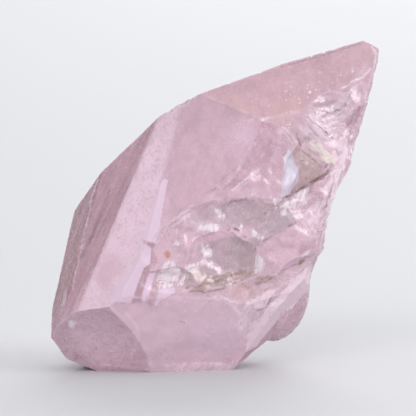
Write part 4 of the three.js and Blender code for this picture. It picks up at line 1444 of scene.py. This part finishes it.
    olive_hairs: tuple[Hair, ...] = (
        Hair(((16.1, 2.3), (17.4, 2.5), (19.3, 3.8), (21.4, 5.0), (24.0, 6.6), (25.4, 7.6), (26.3, 9.1)),
            0.36, 0.9),
        Hair(((19.9, 12.3), (22.0, 10.4), (24.2, 8.5)), 0.26, 0.6),
        Hair(((18.7, 15.7), (19.7, 13.1)), 0.26, 0.6),
        Hair(((22.5, 12.9), (23.7, 11.0), (25.0, 9.3)), 0.16, 0.5),
        Hair(((24.6, 8.3), (25.2, 9.5)), 0.3, 0.8),
        Hair(((-4.7, -17.0), (-1.7, -16.5), (2.1, -15.5), (5.1, -14.2), (8.1, -13.4)), 0.3, 0.7),
        Hair(((-3.8, -17.6), (-0.6, -17.8), (3.0, -17.2), (5.9, -15.9)), 0.26, 0.7),
        Hair(((-2.5, -16.1), (0.4, -15.5), (3.0, -14.4)), 0.18, 0.5),
        Hair(((10.0, -15.9), (12.3, -15.7), (13.6, -15.1)), 0.2, 0.6),
        Hair(((-5.1, -16.5), (-4.0, -15.1)), 0.16, 0.5),
        Hair(((19.4, -11.9), (20.2, -10.9)), 0.42, 1.0),
    )

    def fine_mesh(self, solid: Solid) -> bpy.types.Object:
        """Lay an even fine grid over the solid.

        Args:
            solid: The merged solid.

        Returns:
            The new object, still without relief.
        """
        mesh = bpy.data.meshes.new(self.name)
        solid.shell.to_mesh(mesh)
        made = bpy.data.objects.new(self.name, mesh)
        bpy.context.scene.collection.objects.link(made)
        grid = made.modifiers.new("grid", "REMESH")
        grid.mode = "VOXEL"
        grid.voxel_size = self.grid * MM
        self._keep(made)
        self._fit(made.data, solid)
        return made

    def _keep(self, made: bpy.types.Object) -> None:
        """Turn the object's modifiers into plain mesh.

        Args:
            made: The object.
        """
        view = bpy.context.evaluated_depsgraph_get()
        result = bpy.data.meshes.new_from_object(made.evaluated_get(view))
        made.modifiers.clear()
        old, made.data = made.data, result
        bpy.data.meshes.remove(old)

    def _fit(self, mesh: bpy.types.Mesh, solid: Solid) -> None:
        """Put the grid's points on the solid, and those near a sharp edge on the edge.

        Args:
            mesh: The fine mesh.
            solid: The merged solid.
        """
        reach = self.grid * self.snap * MM
        grid = bmesh.new()
        grid.from_mesh(mesh)
        held = set()
        for vertex in grid.verts:
            ends = (solid.outward.find(vertex.co), solid.inward.find(vertex.co))
            place, _, gap = min(ends, key=lambda end: end[2])
            if gap < reach:
                held.add(vertex.index)
                vertex.co = place
            else:
                vertex.co = solid.tree.find_nearest(vertex.co)[0]
        for face in [f for f in grid.faces if len(f.verts) == 4]:
            a, b, c, d = face.verts
            for first, second, others in ((a, c, (b, d)), (b, d, (a, c))):
                crossed = first.index in held and second.index in held
                if crossed and not any(v.index in held for v in others):
                    bmesh.utils.face_split(face, first, second)
                    break
        grid.to_mesh(mesh)
        grid.free()

    def zones(self, made: bpy.types.Object, solid: Solid) -> None:
        """Write what each place of the skin is like onto the mesh.

        Args:
            made: The fine mesh.
            solid: The merged solid.
        """
        mesh = made.data
        flat = np.zeros(len(mesh.vertices) * 3, np.float32)
        mesh.vertices.foreach_get("co", flat)
        points = flat.reshape(-1, 3).astype(float) / MM
        mesh.vertices.foreach_get("normal", flat)
        normals = flat.reshape(-1, 3).astype(float)
        skins = Skins(points, normals, cloud(points, self.rim_noise, self.rim_seed))
        owners, turned = self._corners(mesh)
        tint, faces = self._faces(Skins(points[owners], turned, skins.rough[owners]))
        shares = {name: np.zeros(len(points)) for name in ("lift", *(s.name.lower() for s in Stain))}
        for mark in (*self.areas, *self.patches):
            share = mark.share(solid, skins)
            name = mark.stain.name.lower()
            shares[name] = np.maximum(shares[name], share)
            if isinstance(mark, Area):
                shares["lift"] += share * (mark.lift * MM - shares["lift"])
            worn = share[owners]
            faces["frost"] += worn * (mark.stain.value.frost - faces["frost"])
            faces["torn"] += worn * (mark.stain.value.torn - faces["torn"])
            faces["etched"] *= 1 - worn
        zones = {
            "pale_flecks": self.pale_fleck_zones,
            "dark_flecks": self.dark_fleck_zones,
            "loose": self.loose_zones,
            "glassy": self.glassy_zones,
            "rippled": self.rippled_zones,
        }
        for name, zone in zones.items():
            shares[name] = np.maximum.reduce([patch.share(solid, skins) for patch in zone])
        struck, _ = solid.drop(View.FRONT, *self.struck_at)
        shares["struck"] = np.linalg.norm(points - struck, axis=1) * MM
        gaps = self._gaps(points, solid)
        shares["edge"] = fade(gaps, *self.edge_reach) * fade(skins.rough, *self.edge_breaks)
        shares["open"] = fade(gaps, *self.open_reach)
        shares["free"] = fade(points[:, 2], *self.free_heights)
        for name in ("edge", "loose", "rippled"):
            shares[name] = shares[name] * shares["free"]
        for name in ("etched", "grown", "torn"):
            faces[name] = faces[name] * shares["free"][owners]
        for domain, group in (("POINT", shares), ("CORNER", faces)):
            for name, values in group.items():
                kept = mesh.attributes.new(name, "FLOAT", domain)
                kept.data.foreach_set("value", values.astype(np.float32))
        kept = mesh.attributes.new("tint", "FLOAT_COLOR", "CORNER")
        colours = np.hstack((tint, np.ones((len(tint), 1))))
        kept.data.foreach_set("color", colours.astype(np.float32).ravel())

    def _corners(self, mesh: bpy.types.Mesh) -> tuple[np.ndarray, np.ndarray]:
        """Find the point and the outward direction of every corner of every small face.

        Args:
            mesh: The fine mesh.

        Returns:
            The points' numbers and the directions, one for each corner.
        """
        owners = np.zeros(len(mesh.loops), np.int32)
        mesh.loops.foreach_get("vertex_index", owners)
        counts = np.zeros(len(mesh.polygons), np.int32)
        mesh.polygons.foreach_get("loop_total", counts)
        outs = np.zeros(len(mesh.polygons) * 3, np.float32)
        mesh.polygons.foreach_get("normal", outs)
        return owners, np.repeat(outs.reshape(-1, 3).astype(float), counts, axis=0)

    def _faces(self, skins: Skins) -> tuple[np.ndarray, dict[str, np.ndarray]]:
        """Colour and skin of the flat faces; the colour holds their painted light and shade.

        Args:
            skins: The fine surface.

        Returns:
            The colour of each place, and its shares by name.
        """
        heart = np.array(self.heart)
        names = ("frost", "etched", "grown", "torn")
        scooped = dict(zip(names, Skin.SCOOPED.value))
        shares = {name: np.full(len(skins.points), scooped[name]) for name in names}
        tint = np.tile(np.array(self.tint), (len(skins.points), 1))
        for facet in self.facets:
            share = facet.share(skins, heart)
            tint += share[:, None] * (np.array(facet.tint) - tint)
            for name, value in zip(names, facet.skin.value):
                shares[name] += share * (value - shares[name])
        return tint, shares

    def _gaps(self, points: np.ndarray, solid: Solid) -> np.ndarray:
        """How far each point is from the nearest sharp outward edge, in mm."""
        return np.array([solid.outward.find(p)[2] for p in (points * MM).tolist()]) / MM

    def build(self) -> bpy.types.Object:
        """Make the skin, raise its relief, dress it and tie it to the frame.

        Returns:
            The finished piece.
        """
        solid = Solid()
        made = self.fine_mesh(solid)
        self.zones(made, solid)
        hairs = {"pale": self.pale_hairs, "dark": self.dark_hairs, "olive": self.olive_hairs}
        skin = made.modifiers.new("skin", "NODES")
        skin.node_group = self.relief.tree()
        values = {**self.relief.sizes(), "Finish": self.finish.material(solid, hairs)}
        for item in skin.node_group.interface.items_tree:
            if item.in_out == "INPUT" and item.name in values:
                skin[item.identifier] = values[item.name]
        self._keep(made)
        made.data.set_sharp_from_angle(angle=self.relief.crisp_angle)
        solid.shell.free()
        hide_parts(NODE)
        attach(made, "root")
        return made


@dataclass(frozen=True)
class Lamp:
    """A soft square light: degrees round and up, metres away and wide, watts, and if it mirrors."""

    name: str
    bearing: float
    rise: float
    distance: float
    width: float
    power: float
    mirrored: bool = True


@dataclass
class Studio:
    """The plain pale room, its soft lights and the camera. Lengths in metres."""

    floor_colour: Colour = linear(186, 186, 188)
    floor_radius: float = 0.3
    wall_radius: float = 4.2
    wall_height: float = 2.6
    floor_roughness: float = 0.8
    wall_steps: int = 40
    wall_sides: int = 96
    lens: float = 200.0
    nearest: float = 0.01
    farthest: float = 20.0
    sky: Colour = (0.80, 0.81, 0.83)
    sky_strength: float = 1.04
    lamps: tuple[Lamp, ...] = (
        Lamp("front_light", -16, 18, 2.0, 1.3, 38.0, False),
        Lamp("side_light", 70, 20, 1.3, 0.7, 10.5),
        Lamp("back_light", 168, 30, 2.0, 1.4, 24.0),
    )

    def floor(self) -> bpy.types.Object:
        """Make the floor, which turns up into a wall far away on every side.

        Returns:
            The floor.
        """
        steps, around = self.wall_steps, self.wall_sides
        profile = [(0.0, 0.0), (self.floor_radius, 0.0)]
        run = self.wall_radius - self.floor_radius
        for i in range(1, steps + 1):
            share = i / steps
            profile.append((self.floor_radius + run * share, self.wall_height * share**2))
        sheet = bmesh.new()
        centre = sheet.verts.new((0, 0, 0))
        rings = []
        for radius, height in profile[1:]:
            turns = [math.tau * k / around for k in range(around)]
            spots = [(radius * math.cos(a), radius * math.sin(a), height) for a in turns]
            rings.append([sheet.verts.new(spot) for spot in spots])
        for k in range(around):
            sheet.faces.new((centre, rings[0][k], rings[0][(k + 1) % around]))
        for inner, outer in zip(rings, rings[1:]):
            for k in range(around):
                m = (k + 1) % around
                sheet.faces.new((inner[k], outer[k], outer[m], inner[m]))
        mesh = bpy.data.meshes.new("floor")
        sheet.to_mesh(mesh)
        sheet.free()
        mesh.polygons.foreach_set("use_smooth", [True] * len(mesh.polygons))
        made = bpy.data.objects.new("floor", mesh)
        bpy.context.scene.collection.objects.link(made)
        paint = bpy.data.materials.new("floor_paint")
        paint.use_nodes = True
        shader = paint.node_tree.nodes["Principled BSDF"]
        shader.inputs["Base Color"].default_value = (*self.floor_colour, 1.0)
        shader.inputs["Roughness"].default_value = self.floor_roughness
        mesh.materials.append(paint)
        return made

    def lights(self) -> None:
        """Hang the lamps and set the sky."""
        world = bpy.data.worlds.new("sky")
        world.use_nodes = True
        sky = world.node_tree.nodes["Background"]
        sky.inputs["Color"].default_value = (*self.sky, 1.0)
        sky.inputs["Strength"].default_value = self.sky_strength
        bpy.context.scene.world = world
        centre = Vector(MIDDLE) * MM
        for lamp in self.lamps:
            data = bpy.data.lights.new(lamp.name, "AREA")
            data.shape = "SQUARE"
            data.size = lamp.width
            data.energy = lamp.power
            made = bpy.data.objects.new(lamp.name, data)
            out = Vector(Direction(lamp.bearing, lamp.rise).out)
            made.location = centre + out * lamp.distance
            made.rotation_euler = out.to_track_quat("Z", "Y").to_euler()
            made.visible_glossy = lamp.mirrored
            made.visible_transmission = False
            bpy.context.scene.collection.objects.link(made)

    def camera(self) -> None:
        """Set the camera up."""
        data = bpy.data.cameras.new("camera")
        data.lens = self.lens
        data.clip_start = self.nearest
        data.clip_end = self.farthest
        made = bpy.data.objects.new("camera", data)
        back = Vector(Direction(*View.FRONT.value).out)
        made.location = Vector(MIDDLE) * MM + back * (EYE_DISTANCE * MM)
        made.rotation_euler = back.to_track_quat("Z", "Y").to_euler()
        bpy.context.scene.collection.objects.link(made)
        bpy.context.scene.camera = made

    def build(self) -> None:
        """Make the whole room."""
        self.camera()
        self.floor()
        self.lights()
        bpy.context.scene.view_settings.view_transform = "Standard"


def main() -> None:
    """Build the crystal and the room."""
    logging.basicConfig(level=logging.INFO, format="%(name)s: %(message)s")
    Studio().build()
    log.info("room, lights and camera")
    crystal = Crystal().build()
    log.info("%s: %d points", crystal.name, len(crystal.data.vertices))


if __name__ == "__main__":
    main()
